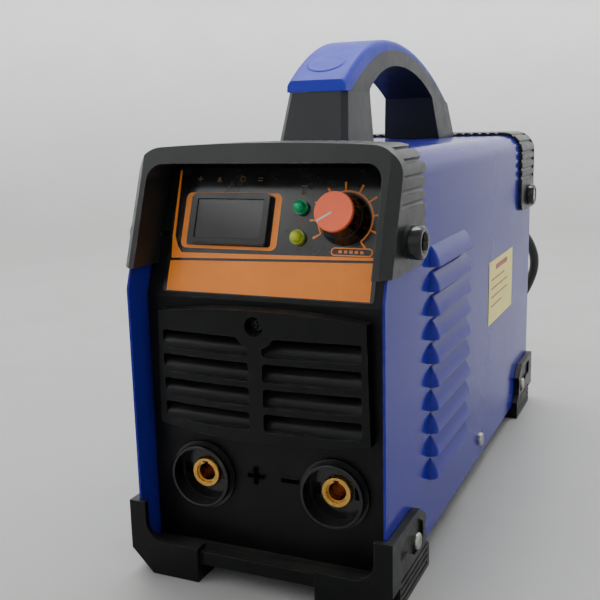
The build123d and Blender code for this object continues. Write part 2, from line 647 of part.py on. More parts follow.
KNOB_BODY, KNOB_CAP, KNOB_LINE, POT_SHAFT, POT_NUT, POT_CASE = make_knob()
keep("knob_body", KNOB_BODY)
keep("knob_cap", KNOB_CAP)
keep("knob_pointer", KNOB_LINE)
keep("pot_shaft", POT_SHAFT)
keep("pot_nut", POT_NUT)
keep("potentiometer", POT_CASE)


def make_control_board():
    board = raised(Pos(-6.0, 36.0) * Rectangle(88.0, 44.0), LABEL_TOP + 18.2, 1.6)
    board -= raised(Pos(KNOB_X, KNOB_S) * Circle(10.5), LABEL_TOP + 30, 30)
    chips = [raised(Pos(x, s) * Rectangle(w, h), LABEL_TOP + 21.0, 2.8)
             for x, s, w, h in ((-30, 24, 10, 7), (-8, 22, 8, 8), (10, 49, 9, 6), (-34, 49, 6, 9))]
    return fuse([board] + chips)


keep("control_board", make_control_board())


# ---- output sockets -----------------------------------------------------------------------
def make_socket(x):
    """Shell, brass insert and lock nut of one twist-lock socket."""
    rim = behind(SOCKET_RIM_INSET)
    shell = disc_y(x, SOCKET_Z, SOCKET_RIM_R, rim, PANEL_FACE)
    shell = fillet(shell.edges().group_by(Axis.Y)[0], 0.8)
    shell += disc_y(x, SOCKET_Z, SOCKET_RIM_R + 1.4, PANEL_FACE - 2.0, PANEL_FACE)
    shell += disc_y(x, SOCKET_Z, SOCKET_RIM_R - 0.8, PANEL_FACE, PANEL_FACE + 24)
    shell -= disc_y(x, SOCKET_Z, SOCKET_CUP_R, rim - 1, behind(SOCKET_FLOOR_INSET))
    # notches in the floor of the cup, for the lugs of the plug
    for side in (-1, 1):
        shell -= block((x + side * 10.9 - 2.2, x + side * 10.9 + 2.2), (rim, behind(SOCKET_FLOOR_INSET + 4)),
                       (SOCKET_Z - 3.2, SOCKET_Z + 3.2))
    shell -= disc_y(x, SOCKET_Z, SOCKET_BRASS_R, rim, PANEL_FACE + 40)
    brass_front = behind(SOCKET_BRASS_INSET)
    brass = disc_y(x, SOCKET_Z, SOCKET_BRASS_R, brass_front, PANEL_FACE + 34)
    brass = chamfer(brass.edges().group_by(Axis.Y)[0], 0.5)
    brass -= disc_y(x, SOCKET_Z, SOCKET_BORE_R, brass_front - 1, brass_front + 22)
    brass -= disc_y(x, SOCKET_Z, SOCKET_BORE_R + 0.8, brass_front - 1, brass_front + SOCKET_LEAD_IN)
    key = block((x - 1.5, x + 1.5), (brass_front - 1, brass_front + 9),
                (SOCKET_Z, SOCKET_Z + SOCKET_BORE_R + 1.5))
    brass -= key
    nut_ring = Pos(x, SOCKET_Z) * (RegularPolygon(19.5, 6) - Circle(SOCKET_RIM_R - 0.8))
    nut = along_y(nut_ring, PANEL_FACE + PANEL_T, PANEL_FACE + PANEL_T + 6)
    bolt = disc_y(x, SOCKET_Z, 4.0, PANEL_FACE + 34, PANEL_FACE + 48)
    return shell, brass + bolt, nut


POS_SHELL, POS_BRASS, POS_NUT = make_socket(-SOCKET_X)
NEG_SHELL, NEG_BRASS, NEG_NUT = make_socket(SOCKET_X)
keep("positive_socket_shell", POS_SHELL)
keep("negative_socket_shell", NEG_SHELL)
keep("positive_socket_insert", POS_BRASS)
keep("negative_socket_insert", NEG_BRASS)
keep("socket_nuts", Compound([POS_NUT, NEG_NUT]))


def make_bus_bars():
    """Copper straps from the sockets back to the main board."""
    bars = []
    y0 = PANEL_FACE + 34.2
    for x in (-SOCKET_X, SOCKET_X):
        upright = block((x - 9, x + 9), (y0, y0 + 2.5), (SOCKET_Z - 10, SOCKET_Z + 26))
        run = block((x - 9, x + 9), (y0, y0 + 41), (SOCKET_Z + 23.5, SOCKET_Z + 26))
        strap = upright + run
        strap -= disc_y(x, SOCKET_Z, 4.0, y0 - 1, y0 + 4)
        bars.append(strap)
    return Compound(bars)


keep("bus_bars", make_bus_bars())


# ---- handle -------------------------------------------------------------------------------
def handle_side():
    """Side outlines of the arch: whole arch, and the part that the cap takes."""
    out = [(84.2, 242.0), (103.2, 253.2), (127.2, 262.3), (155.2, 266.0), (192.8, 264.0),
           (220.5, 258.4), (250.7, 248.6), (279.4, 235.6)]
    inner = [(120.7, 237.6), (133.2, 244.6), (148.8, 249.6), (168.2, 251.9), (190.2, 251.0),
             (220.6, 244.8), (244.9, 235.0)]
    seam = [(90.6, 236.2), (112.9, 248.2), (133.6, 256.2), (158.1, 260.4), (180.0, 260.6),
            (206.3, 257.4), (235.1, 250.2), (274.0, 235.2)]

    def shift(points):
        return [(behind(y), z) for y, z in points]

    base_z = COVER_TOP + 0.2
    top_curve = Spline(*shift(out))
    under = Spline(*shift(inner))
    whole = make_face(Curve() + [
        top_curve,
        Polyline(top_curve @ 1, (behind(283.0), 232.0), (behind(293.0), base_z), (behind(252.0), base_z),
                 under @ 1),
        under,
        Polyline(under @ 0, (behind(118.0), base_z), (behind(HANDLE_FOOT_Y), base_z),
                 (behind(HANDLE_SEAM_Y), HANDLE_SEAM_Z), top_curve @ 0)])
    seam_curve = Spline(*shift(seam))
    above = make_face(Curve() + [
        seam_curve,
        Polyline(seam_curve @ 1, (behind(277.2), 233.4), (behind(300.0), 226.0), (behind(300.0), 300.0),
                 (behind(60.0), 300.0), (behind(60.0), 236.0), seam_curve @ 0)])
    return whole, above


def make_handle():
    whole, above = handle_side()
    base_z, flare_z = COVER_TOP + 0.2, 236.0
    body = along_x(whole, -HANDLE_HALF, HANDLE_HALF)
    crown = [e for e in body.edges() if e.length > 180 and e.center().Z > 250
             and abs(abs(e.center().X) - HANDLE_HALF) < 0.2]
    body = fillet(crown, HANDLE_EDGE_R)
    # both legs widen towards the cover
    front_view = outline([(-HANDLE_FOOT_HALF, base_z), (-HANDLE_HALF, flare_z),
                          (HANDLE_HALF, flare_z), (HANDLE_FOOT_HALF, base_z)])
    legs = along_x(whole, -HANDLE_FOOT_HALF, HANDLE_FOOT_HALF) & along_y(front_view, FRONT, REAR)
    cutter = along_x(above, -FAR, FAR)
    legs -= cutter
    cap = body & cutter
    grip = (body - cutter) + legs
    # slanted faces down both front corners
    foot = Vector(HANDLE_FOOT_HALF, behind(HANDLE_FOOT_Y), base_z)
    along = Vector(HANDLE_HALF, behind(HANDLE_SEAM_Y), flare_z) - foot
    outward = Vector(1, -1, 0)
    outward -= along * (outward.dot(along) / along.dot(along))
    outward = outward.normalized()
    face = Plane(origin=foot + along / 2 - outward * HANDLE_CORNER, x_dir=along, z_dir=outward)
    for part in both_sides(extrude(face * Rectangle(along.length + 2, 20), 10)):
        grip -= part
    # screw pockets from below
    for y in HANDLE_SCREWS:
        grip -= disc_z(0, behind(y), 2.6, base_z - 1, base_z + 16)
    return grip, cap


GRIP, CAP = make_handle()
keep("handle_body", GRIP)
keep("handle_cap", CAP)


def make_handle_screws():
    """Screws up through the top of the cover into both legs."""
    screws = []
    for y in HANDLE_SCREWS:
        down = Pos(0, behind(y), COVER_TOP - SHEET - 1.6) * Rot(180, 0, 0)
        washer = Pos(0, behind(y), COVER_TOP - SHEET - 0.85) * Cylinder(7.0, 1.5)
        screws.append(down * pan_screw(4.6, 3.0, 2.4, 16.0) + washer)
    return Compound(screws)


keep("handle_screws", make_handle_screws())
for leg_y in HANDLE_SCREWS:
    NODES["cover"] = NODES["cover"] - disc_z(0, behind(leg_y), 2.6, COVER_TOP - 5, COVER_TOP + 5)


# ---- screws on the outside ----------------------------------------------------------------
def pairs_x(places, seat_x, shank):
    """Screws on both sides at (behind, height) places, heads seated at seat_x."""
    screws = []
    for y, z in places:
        for sign in (1, -1):
            screws.append(screw_x(sign * seat_x, behind(y), z, sign, shank))
    return Compound(screws)


SIDE_SCREW = (184.4, 21.8)
REAR_FOOT_SCREW = (LENGTH - FOOT_SCREW[0], FOOT_SCREW[1])
keep("moulding_screws", pairs_x([BEZEL_BOSS, BAND_BOSS], BOSS_FLOOR_X, 8.0))
keep("side_screws", Compound(pairs_x([FOOT_SCREW, REAR_FOOT_SCREW], FOOT_SIDE_X - 1.4, 7.0).solids()
                             + pairs_x([SIDE_SCREW], HALF, 6.0).solids()))
for screw_y, screw_z in (BEZEL_BOSS, BAND_BOSS, FOOT_SCREW, REAR_FOOT_SCREW, SIDE_SCREW):
    way = disc_x(behind(screw_y), screw_z, 2.1, -FAR, FAR)
    for node in ("cover", "base_tray", "front_panel"):
        NODES[node] = NODES[node] - way


# ---- rear panel, fan, switch, gland, earth stud ---------------------------------------------
def make_rear_panel():
    half, top = HALF - SHEET - 0.4, COVER_TOP - SHEET - 0.4
    bottom = COVER_BOTTOM + SHEET + 0.2
    face = arch(half, top, CORNER_R - SHEET - 0.4, bottom)
    face -= Pos(0, FAN_Z) * Circle(FAN_BORE_R)
    face -= Pos(SWITCH_X, SWITCH_Z) * Rectangle(22.4, 28.4)
    face -= Pos(GLAND_X, GLAND_Z) * Circle(9.3)
    face -= Pos(EARTH_X, EARTH_Z) * Circle(3.1)
    for dx in (-1, 1):
        for dz in (-1, 1):
            face -= Pos(dx * FAN_HOLE_PITCH / 2, FAN_Z + dz * FAN_HOLE_PITCH / 2) * Circle(2.1)
    panel = along_y(face, REAR_FACE - 1.5, REAR_FACE)
    for side in (1, -1):
        flange = block((side * (half - SHEET), side * half), (REAR_FACE - 26, REAR_FACE), (40, 190))
        panel += flange
    panel -= disc_x(behind(BAND_BOSS[0]), BAND_BOSS[1], 2.1, -FAR, FAR)
    return panel


keep("rear_panel", make_rear_panel())


def make_fan():
    """Square frame with a round duct, struts and motor seat; the rotor; the finger guard."""
    y1 = REAR_FACE - 1.6
    y0 = y1 - FAN_DEPTH
    square = Pos(0, FAN_Z) * RectangleRounded(FAN_SIZE, FAN_SIZE, 5)
    frame = along_y(square - Pos(0, FAN_Z) * Circle(FAN_BORE_R), y0, y1)
    holes = [(dx * FAN_HOLE_PITCH / 2, FAN_Z + dz * FAN_HOLE_PITCH / 2)
             for dx in (-1, 1) for dz in (-1, 1)]
    # the outside is waisted between the two flanges
    waist = Pos(0, FAN_Z) * (Rectangle(FAN_SIZE + 2, FAN_SIZE + 2) - Circle(FAN_SIZE / 2 - 0.4))
    frame -= along_y(waist, y0 + 5, y1 - 5)
    strut = block((-1.6, 1.6), (y0, y0 + 3), (FAN_Z + 14, FAN_Z + FAN_BORE_R + 0.5))
    for angle in (45, 135, 225, 315):
        frame += Pos(0, 0, FAN_Z) * Rot(0, angle, 0) * Pos(0, 0, -FAN_Z) * strut
    frame += disc_y(0, FAN_Z, 17.0, y0, y0 + 3.0)
    frame -= disc_y(0, FAN_Z, 1.55, y0 + 1.0, y1)
    for x, z in holes:
        frame -= disc_y(x, z, 2.1, y0 - 1, y1 + 1)
    hub = disc_y(0, FAN_Z, 16.5, y0 + 4.0, y1 - 1.5)
    hub = fillet(hub.edges().group_by(Axis.Y)[-1], 2.0)
    blade = Pos(0, (y0 + y1) / 2 + 1.2, 0) * Rot(0, 0, 38) * Box(23.0, 1.6, 2 * ROTOR_R)
    upper = block((-60, 60), (y0, y1), (5, 60))
    blade = blade & upper
    rotor = hub
    for k in range(7):
        rotor += Pos(0, 0, FAN_Z) * Rot(0, 360 / 7 * k, 0) * blade
    rotor = rotor & disc_y(0, FAN_Z, ROTOR_R, y0 + 4.0, y1 - 1.5)
    rotor += disc_y(0, FAN_Z, 1.5, y0 + 1.4, y0 + 4.5)
    wire, guard_y = 2.0, REAR_FACE + 4.5
    rings = [Circle(r + wire / 2) - Circle(r - wire / 2) for r in (42, 34, 26, 18, 10)]
    spokes = [Rot(0, 0, a) * Pos(30, 0) * Rectangle(42, wire) for a in (45, 135, 225, 315)]
    flat = fuse(rings + spokes)
    guard = along_y(Pos(0, FAN_Z) * flat, guard_y - wire, guard_y)
    for x, z in holes:
        guard += disc_y(x, z, 4.6, REAR_FACE + 0.1, guard_y)
    for x, z in holes:
        guard -= disc_y(x, z, 2.1, REAR_FACE, guard_y + 1)
    screws = [Pos(x, guard_y, z) * Rot(-90, 0, 0) * pan_screw(3.8, 2.4, 1.9, 12.0) for x, z in holes]
    return frame, rotor, guard, Compound(screws)


FAN_FRAME, FAN_ROTOR, FAN_GUARD, FAN_SCREWS = make_fan()
keep("fan_frame", FAN_FRAME)
keep("fan_rotor", FAN_ROTOR)
keep("fan_guard", FAN_GUARD)
keep("fan_screws", FAN_SCREWS)


def make_switch():
    """Rocker switch: body with its bezel, and the rocker at rest with its lower half pressed."""
    here = Pos(SWITCH_X, 0, SWITCH_Z)
    bezel = Pos(SWITCH_X, SWITCH_Z) * (RectangleRounded(25.5, 31.5, 1.5) - Rectangle(18.6, 24.6))
    body = along_y(bezel, REAR_FACE, REAR_FACE + 2.2)
    case = Pos(SWITCH_X, SWITCH_Z) * (Rectangle(22.0, 28.0) - Rectangle(18.6, 24.6))
    body += along_y(case, REAR_FACE - 22, REAR_FACE + 1)
    body += along_y(Pos(SWITCH_X, SWITCH_Z) * Rectangle(22.0, 28.0), REAR_FACE - 24, REAR_FACE - 12.5)
    tabs = [block((SWITCH_X + x - 0.4, SWITCH_X + x + 0.4), (REAR_FACE - 34, REAR_FACE - 23),
                  (SWITCH_Z + z - 3, SWITCH_Z + z + 3)) for x in (-5, 5) for z in (-7, 7)]
    body = fuse([body] + tabs)
    pivot_y = REAR_FACE - 2.0
    side = make_face(Curve() + [ThreePointArc((4.6, 11.2), (3.0, 0), (4.6, -11.2)),
                                Polyline((4.6, -11.2), (1.0, -11.2), (-5.5, -3.0), (-5.5, 3.0),
                                         (1.0, 11.2), (4.6, 11.2))])
    rocker = along_x(side, -8.9, 8.9)
    marks = block((-0.6, 0.6), (2.6, 6.0), (-8.6, -3.6))
    rocker -= marks
    rocker = Rot(-ROCKER_TILT, 0, 0) * rocker
    rocker = Pos(SWITCH_X, pivot_y, SWITCH_Z) * rocker
    pin = disc_x(pivot_y, SWITCH_Z, 1.2, SWITCH_X - 10.4, SWITCH_X + 10.4)
    rocker = rocker + pin
    body -= disc_x(pivot_y, SWITCH_Z, 1.2 + RUNNING_GAP, SWITCH_X - 10.5, SWITCH_X + 10.5)
    return body, rocker


SWITCH_BODY, ROCKER = make_switch()
keep("switch_body", SWITCH_BODY)
keep("switch_rocker", ROCKER)

GLAND_TIP_Y = REAR_FACE + 38.0


def make_gland():
    """Hexagonal cable gland with a tapered strain relief, and its inner nut."""
    hexagon = Pos(GLAND_X, GLAND_Z) * RegularPolygon(12.4, 6)
    body = along_y(hexagon, REAR_FACE + 0.1, REAR_FACE + 7)
    profile = [(7, 10.2), (12, 10.0), (16, 8.2), (20, 6.9), (38, 5.3), (38, 4.0), (-10, 4.0),
               (-10, 9.0), (0.1, 9.0), (0.1, 10.2)]
    turned = outline([(r, y) for y, r in profile])
    sleeve = Pos(GLAND_X, REAR_FACE, GLAND_Z) * revolve(turned, Axis.Y)
    body += sleeve
    for y in (22, 26, 30, 34):
        body -= disc_y(GLAND_X, GLAND_Z, 9, REAR_FACE + y, REAR_FACE + y + 1.4) \
            - disc_y(GLAND_X, GLAND_Z, 5.0, REAR_FACE + y - 1, REAR_FACE + y + 3)
    body -= disc_y(GLAND_X, GLAND_Z, LEAD_D / 2, REAR_FACE - 12, REAR_FACE + 40)
    nut = along_y(Pos(GLAND_X, GLAND_Z) * (RegularPolygon(12.4, 6) - Circle(9.0)),
                  REAR_FACE - 6.5, REAR_FACE - 1.5)
    return body, nut


GLAND, GLAND_NUT = make_gland()
keep("cable_gland", GLAND)
keep("gland_nut", GLAND_NUT)


def make_earth():
    """Earth stud through the rear panel, and its wing nut."""
    stud = disc_y(EARTH_X, EARTH_Z, 3.0, REAR_FACE - 14, REAR_FACE + 12)
    stud += along_y(Pos(EARTH_X, EARTH_Z) * RegularPolygon(5.6, 6), REAR_FACE - 6, REAR_FACE - 1.6)
    washer = along_y(Pos(EARTH_X, EARTH_Z) * (Circle(6.5) - Circle(3.0)), REAR_FACE + 0.05, REAR_FACE + 1.4)
    nut = disc_y(EARTH_X, EARTH_Z, 5.0, REAR_FACE + 1.4, REAR_FACE + 7.0)
    wing = make_face(Curve() + [Line((3.0, 2.0), (9.0, 3.6)),
                                ThreePointArc((9.0, 3.6), (11.8, 7.2), (9.4, 10.2)),
                                Line((9.4, 10.2), (3.0, 6.6)), Line((3.0, 6.6), (3.0, 2.0))])
    wing = extrude(wing, 1.2, both=True)
    for turn in (0, 180):
        nut += Pos(EARTH_X, REAR_FACE, EARTH_Z) * Rot(0, 35 + turn, 0) * wing
    nut -= disc_y(EARTH_X, EARTH_Z, 3.0, REAR_FACE, REAR_FACE + 12)
    return stud, washer + nut


EARTH_STUD, EARTH_NUT = make_earth()
keep("earth_stud", EARTH_STUD)
keep("earth_wing_nut", EARTH_NUT)


# ---- power electronics inside ---------------------------------------------------------------
BOARD_Z = 62.0
BOARD_Y = (-84.0, 118.0)


def make_main_board():
    board = block((-56, 56), BOARD_Y, (BOARD_Z, BOARD_Z + 2))
    corners = [(x, y) for x in (-50, 50) for y in (BOARD_Y[0] + 6, BOARD_Y[1] - 6)]
    for x, y in corners:
        board -= disc_z(x, y, 2.0, BOARD_Z - 1, BOARD_Z + 3)
    posts = [along_z(Pos(x, y) * (RegularPolygon(4.0, 6) - Circle(1.6)),
                     COVER_BOTTOM + SHEET, BOARD_Z) for x, y in corners]
    return board, Compound(posts)


MAIN_BOARD, STANDOFFS = make_main_board()
keep("main_board", MAIN_BOARD)
keep("board_standoffs", STANDOFFS)


def make_heat_sinks():
    """Two finned sinks that stand on the board, with the transistors clipped to their faces."""
    sinks, transistors = [], []
    for side in (1, -1):
        web = block((side * 24, side * 28), (-84, 20), (BOARD_Z + 2, BOARD_Z + 92))
        fins = [block((side * 28, side * 50), (-84, 20), (BOARD_Z + 6 + k * 9.4, BOARD_Z + 8.2 + k * 9.4))
                for k in range(9)]
        sinks.append(fuse([web] + fins))
        for k in range(4):
            y = -76 + k * 24
            body = block((side * 19.2, side * 24), (y, y + 16), (BOARD_Z + 14, BOARD_Z + 35))
            legs = [block((side * 21.2, side * 22.0), (y + 8 + d - 0.6, y + 8 + d + 0.6),
                          (BOARD_Z + 2, BOARD_Z + 14.5)) for d in (-5, 0, 5)]
            transistors.append(fuse([body] + legs))
    return Compound(sinks), Compound(transistors)


HEAT_SINKS, TRANSISTORS = make_heat_sinks()
keep("heat_sinks", HEAT_SINKS)
keep("power_transistors", TRANSISTORS)


def make_magnetics():
    """Ferrite transformer with its winding, and the toroidal output choke."""
    z0 = BOARD_Z + 2
    core = block((-32, 32), (40, 72), (z0 + 4, z0 + 60))
    for side in (1, -1):
        core -= block((side * 9, side * 22), (39, 73), (z0 + 14, z0 + 50))
    winding = along_z(Pos(0, 56) * (RectangleRounded(43, 58, 8) - Rectangle(18.4, 32.4)),
                      z0 + 15, z0 + 49)
    clamp = block((-34, 34), (42, 46), (z0, z0 + 4)) + block((-34, 34), (66, 70), (z0, z0 + 4))
    choke = Pos(0, -118, COVER_BOTTOM + SHEET + 18) * Torus(18, 9)
    foot = block((-6, 6), (-142, -94), (COVER_BOTTOM + SHEET, COVER_BOTTOM + SHEET + 9.5))
    return core + clamp, winding, choke + foot


CORE, WINDING, CHOKE = make_magnetics()
keep("transformer_core", CORE)
keep("transformer_winding", WINDING)
keep("output_choke", CHOKE)


def make_small_power_parts():
    """Bus capacitors standing on the board, and the rectifier under it on the tray."""
    z0 = BOARD_Z + 2
    cans = []
    for x in (-36, 0, 36):
        can = disc_z(x, 103, 13.0, z0, z0 + 42)
        can = fillet(can.edges().group_by(Axis.Z)[-1], 1.5)
        can -= block((x - 9, x + 9), (102.7, 103.3), (z0 + 41.5, z0 + 43))
        cans.append(can)
    z1 = COVER_BOTTOM + SHEET
    rectifier = block((-14, 14), (20, 48), (z1, z1 + 10)) - disc_z(0, 34, 2.5, z1 - 1, z1 + 11)
    for x, y in ((-9, 25), (9, 25), (-9, 43), (9, 43)):
        rectifier += block((x - 3, x + 3), (y - 0.4, y + 0.4), (z1 + 9.5, z1 + 19))
    return Compound(cans), rectifier


CAPACITORS, RECTIFIER = make_small_power_parts()
keep("bus_capacitors", CAPACITORS)
keep("rectifier_bridge", RECTIFIER)


# ---- side label -----------------------------------------------------------------------------
keep("side_label", block((HALF + 0.02, HALF + 0.3), (behind(205.5), behind(281.0)), (90.0, 131.0)))


# ---- mains lead -----------------------------------------------------------------------------
def bend_radii(points):
    """Radius of the arc at each inner point: as large as its two runs allow."""
    radii = []
    for a, b, c in zip(points, points[1:], points[2:]):
        before, after = b - a, c - b
        turn = radians(before.get_angle(after))
        radii.append(0.45 * min(before.length, after.length) / tan(turn / 2))
    return radii


def tube(points, name):
    """Round tube of the lead's diameter along straight runs joined by tangent arcs."""
    points = [Vector(*p) for p in points]
    radii = bend_radii(points)
    path = FilletPolyline(*points, radius=radii)
    start = Plane(origin=path @ 0, z_dir=path % 0)
    shape = sweep(start * Circle(LEAD_D / 2), path=path)
    expected = path.length * pi * LEAD_D ** 2 / 4
    print(name, "length %.1f" % path.length, "volume/expected %.4f" % (shape.volume / expected),
          "radii", ["%.0f" % r for r in radii])
    return shape


# out of the gland, back and down in a bow to the right, then onto the top of the coil
LEAD_ROUTE = [
    (30.0, GLAND_TIP_Y, 134.0),
    (31.0, 231.0, 134.0),
    (37.0, 257.0, 129.0),
    (48.0, 276.0, 115.0),
    (53.5, 286.0, 92.0),
    (46.0, 290.0, 69.0),
    (34.0, 287.0, 49.0),
    (24.0, 277.0, 32.0),
    (13.5, 261.0, 21.0),
]
# off the bottom of the coil, along the floor to the plug
TAIL_ROUTE = [
    (-78.3, 255.9, 4.0),
    (-74.0, 272.5, 4.0),
    (-66.0, 289.0, 5.0),
    (-53.5, 304.0, 8.0),
    (-38.0, 316.5, 10.5),
]
PLUG_HEADING = (0.845, 0.535, 0.0)
keep("mains_lead", tube(LEAD_ROUTE, "mains_lead"))
keep("mains_tail", tube(TAIL_ROUTE, "mains_tail"))


def make_coil():
    """Outer shape of the coiled lead: a ring two turns wide and three turns high."""
    width, height = 2 * LEAD_D, COIL_LAYERS * LEAD_D
    section = Pos(COIL_R, height / 2) * RectangleRounded(width, height, LEAD_D / 2 - 0.1)
    ring = revolve(Plane.XZ * section, Axis.Z)
    return Pos(COIL_X, COIL_Y, 0) * ring


keep("mains_coil", make_coil())


def make_plug():
    """Flat three-blade plug with a tapered strain relief; its body and its blades."""
    here = Plane(origin=TAIL_ROUTE[-1], x_dir=(-PLUG_HEADING[1], PLUG_HEADING[0], 0), z_dir=PLUG_HEADING)
    relief = Pos(0, 0, 11.0) * Cone(5.2, 7.6, 22.0)
    neck = loft(Sketch() + [Pos(0, 0, 20.0) * RectangleRounded(18, 15, 5),
                            Pos(0, 0, 34.0) * RectangleRounded(PLUG_WIDE, PLUG_THICK, 6)])
    block_body = extrude(Pos(0, 0, 34.0) * RectangleRounded(PLUG_WIDE, PLUG_THICK, 6), PLUG_LONG - 14.0)
    block_body = fillet(block_body.edges().group_by(Axis.Z)[-1], 1.5)
    body = relief + neck + block_body
    face_z = 34.0 + PLUG_LONG - 14.0
    blades = []
    for x, y, turn in ((-7.9, 2.6, 30), (7.9, 2.6, -30), (0.0, -6.0, 0)):
        blades.append(Pos(x, y, face_z + 8.0) * Rot(0, 0, turn) * Box(1.8, 6.3, 20.0))
    body -= blades
    return here * body, Compound([here * blade for blade in blades])


PLUG_BODY, PLUG_BLADES = make_plug()
keep("plug_body", PLUG_BODY)
keep("plug_blades", PLUG_BLADES)


# ---- write the parts ------------------------------------------------------------------------
for node_name, node_shape in NODES.items():
    export_step(node_shape, "parts/" + node_name + ".step")
print(len(NODES), "nodes")
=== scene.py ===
"""Looks of an inverter welding machine: finishes, printed panel, mains lead, stage, light and camera."""

import math

import bmesh
import bpy
from mathutils import Matrix, Vector
from mathutils.bvhtree import BVHTree


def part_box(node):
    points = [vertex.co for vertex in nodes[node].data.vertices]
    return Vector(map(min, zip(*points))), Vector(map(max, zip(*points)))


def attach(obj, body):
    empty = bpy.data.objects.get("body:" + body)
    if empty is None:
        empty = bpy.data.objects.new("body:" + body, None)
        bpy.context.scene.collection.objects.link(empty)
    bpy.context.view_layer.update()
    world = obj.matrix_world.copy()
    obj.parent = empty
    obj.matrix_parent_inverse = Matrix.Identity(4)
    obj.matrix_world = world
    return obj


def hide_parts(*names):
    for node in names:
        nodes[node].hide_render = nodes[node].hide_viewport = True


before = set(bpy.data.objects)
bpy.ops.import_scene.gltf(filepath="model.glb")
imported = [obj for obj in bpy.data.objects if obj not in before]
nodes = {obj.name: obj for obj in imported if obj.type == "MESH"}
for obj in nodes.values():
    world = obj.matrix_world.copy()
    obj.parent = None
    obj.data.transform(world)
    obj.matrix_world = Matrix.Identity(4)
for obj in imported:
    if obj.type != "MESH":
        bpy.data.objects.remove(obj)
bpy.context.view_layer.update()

MM = 0.001
scene = bpy.context.scene

# ---- camera ----------------------------------------------------------------------------------
CAMERA_AT = Vector((0.18166, -0.52254, 0.22113))
YAW, PITCH, ROLL = 0.42143, 0.19807, -0.02377       # radians: turned left, looking down, tilted
LENS_MM, SENSOR_MM = 53.25, 36.0
NEAREST, FARTHEST = 0.02, 90.0


def make_camera():
    """Camera that stands in front and to the right, and looks at the middle of the machine."""
    ahead = Vector((-math.sin(YAW), math.cos(YAW), 0))
    forward = ahead * math.cos(PITCH) - Vector((0, 0, math.sin(PITCH)))
    level_right = Vector((math.cos(YAW), math.sin(YAW), 0))
    level_up = level_right.cross(forward)
    right = math.cos(ROLL) * level_right + math.sin(ROLL) * level_up
    up = math.cos(ROLL) * level_up - math.sin(ROLL) * level_right
    data = bpy.data.cameras.new("camera")
    data.sensor_width = SENSOR_MM
    data.lens = LENS_MM
    data.clip_start, data.clip_end = NEAREST, FARTHEST
    camera = bpy.data.objects.new("camera", data)
    scene.collection.objects.link(camera)
    turn = Matrix((right, up, -forward)).transposed()
    camera.matrix_world = Matrix.Translation(CAMERA_AT) @ turn.to_4x4()
    scene.camera = camera


make_camera()

# ---- mains lead ------------------------------------------------------------------------------
LEAD_D = 8.0
COIL_X, COIL_Y = -30.0, 243.0
COIL_INNER, COIL_OUTER = 42.0, 50.0
# radius and height of each turn, from the top of the coil down
COIL_RINGS = ((COIL_INNER, 20.0), (COIL_OUTER, 20.0), (COIL_OUTER, 12.0),
              (COIL_INNER, 12.0), (COIL_INNER, 4.0), (COIL_OUTER, 4.0))
POINTS_PER_TURN = 16
COIL_ARRIVE, COIL_LEAVE = 8.0, 181.0     # degrees round the coil where the lead meets and leaves it
CROSS_OVER = 45.0                        # degrees that the lead takes from one ring to the next

# out of the gland, back and down in a bow to the right, then onto the top of the coil
LEAD_ROUTE = (
    (30.0, 203.0, 134.0), (31.0, 231.0, 134.0), (37.0, 257.0, 129.0), (48.0, 276.0, 115.0),
    (53.5, 286.0, 92.0), (46.0, 290.0, 69.0), (34.0, 287.0, 49.0), (24.0, 277.0, 32.0),
    (13.5, 261.0, 21.0),
)
# off the bottom of the coil, along the floor to the plug
TAIL_ROUTE = ((-78.3, 255.9, 4.0), (-74.0, 272.5, 4.0), (-66.0, 289.0, 5.0), (-53.5, 304.0, 8.0),
              (-38.0, 316.5, 10.5))


def soft_step(t):
    """Soft step from 0 to 1 as t goes from 0 to 1."""
    t = min(1.0, max(0.0, t))
    return t * t * (3 - 2 * t)


def coil_points():
    """Control points of turns laid beside and on each other; their polygon is swollen round the turns."""
    step = 360.0 / POINTS_PER_TURN
    swell = 1 / math.cos(math.radians(step / 2))
    whole = COIL_ARRIVE - COIL_LEAVE + 360.0 * len(COIL_RINGS)
    per_ring = whole / len(COIL_RINGS)
    count = round(whole / step)
    points = []
    for k in range(count + 1):
        gone = whole * k / count
        ring = min(len(COIL_RINGS) - 1, int(gone / per_ring))
        here, after = COIL_RINGS[ring], COIL_RINGS[min(ring + 1, len(COIL_RINGS) - 1)]
        share = soft_step((gone - ring * per_ring - (per_ring - CROSS_OVER)) / CROSS_OVER)
        r = (here[0] + (after[0] - here[0]) * share) * swell
        z = here[1] + (after[1] - here[1]) * share
        angle = math.radians(COIL_ARRIVE - gone)
        points.append((COIL_X + r * math.cos(angle), COIL_Y + r * math.sin(angle), z))
    return points


def nurbs_tube(name, points, diameter):
    """Round tube along one open NURBS spline through these control points, in millimetres."""
    curve = bpy.data.curves.new(name, "CURVE")
    curve.dimensions = "3D"
    spline = curve.splines.new("NURBS")
    spline.points.add(len(points) - 1)
    for point, (x, y, z) in zip(spline.points, points):
        point.co = (x * MM, y * MM, z * MM, 1.0)
        point.radius = diameter / 2 * MM
    spline.order_u = 3
    spline.use_endpoint_u = True
    curve.resolution_u = 6
    curve.bevel_depth = 1.0
    curve.bevel_resolution = 5
    curve.use_fill_caps = True
    piece = bpy.data.objects.new(name, curve)
    scene.collection.objects.link(piece)
    return piece


lead = nurbs_tube("lead_line", [*LEAD_ROUTE, *coil_points(), *TAIL_ROUTE], LEAD_D)
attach(lead, "housing")
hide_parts("mains_lead", "mains_coil", "mains_tail")


# ---- finishes --------------------------------------------------------------------------------
def linear(r, g, b):
    """Linear colour from sRGB values of 0 to 255."""
    def one(v):
        v /= 255.0
        return v / 12.92 if v <= 0.04045 else ((v + 0.055) / 1.055) ** 2.4
    return (one(r), one(g), one(b), 1.0)


def scaled(colour, factor):
    """Colour made lighter or darker by a factor."""
    return (*[min(1.0, c * factor) for c in colour[:3]], 1.0)


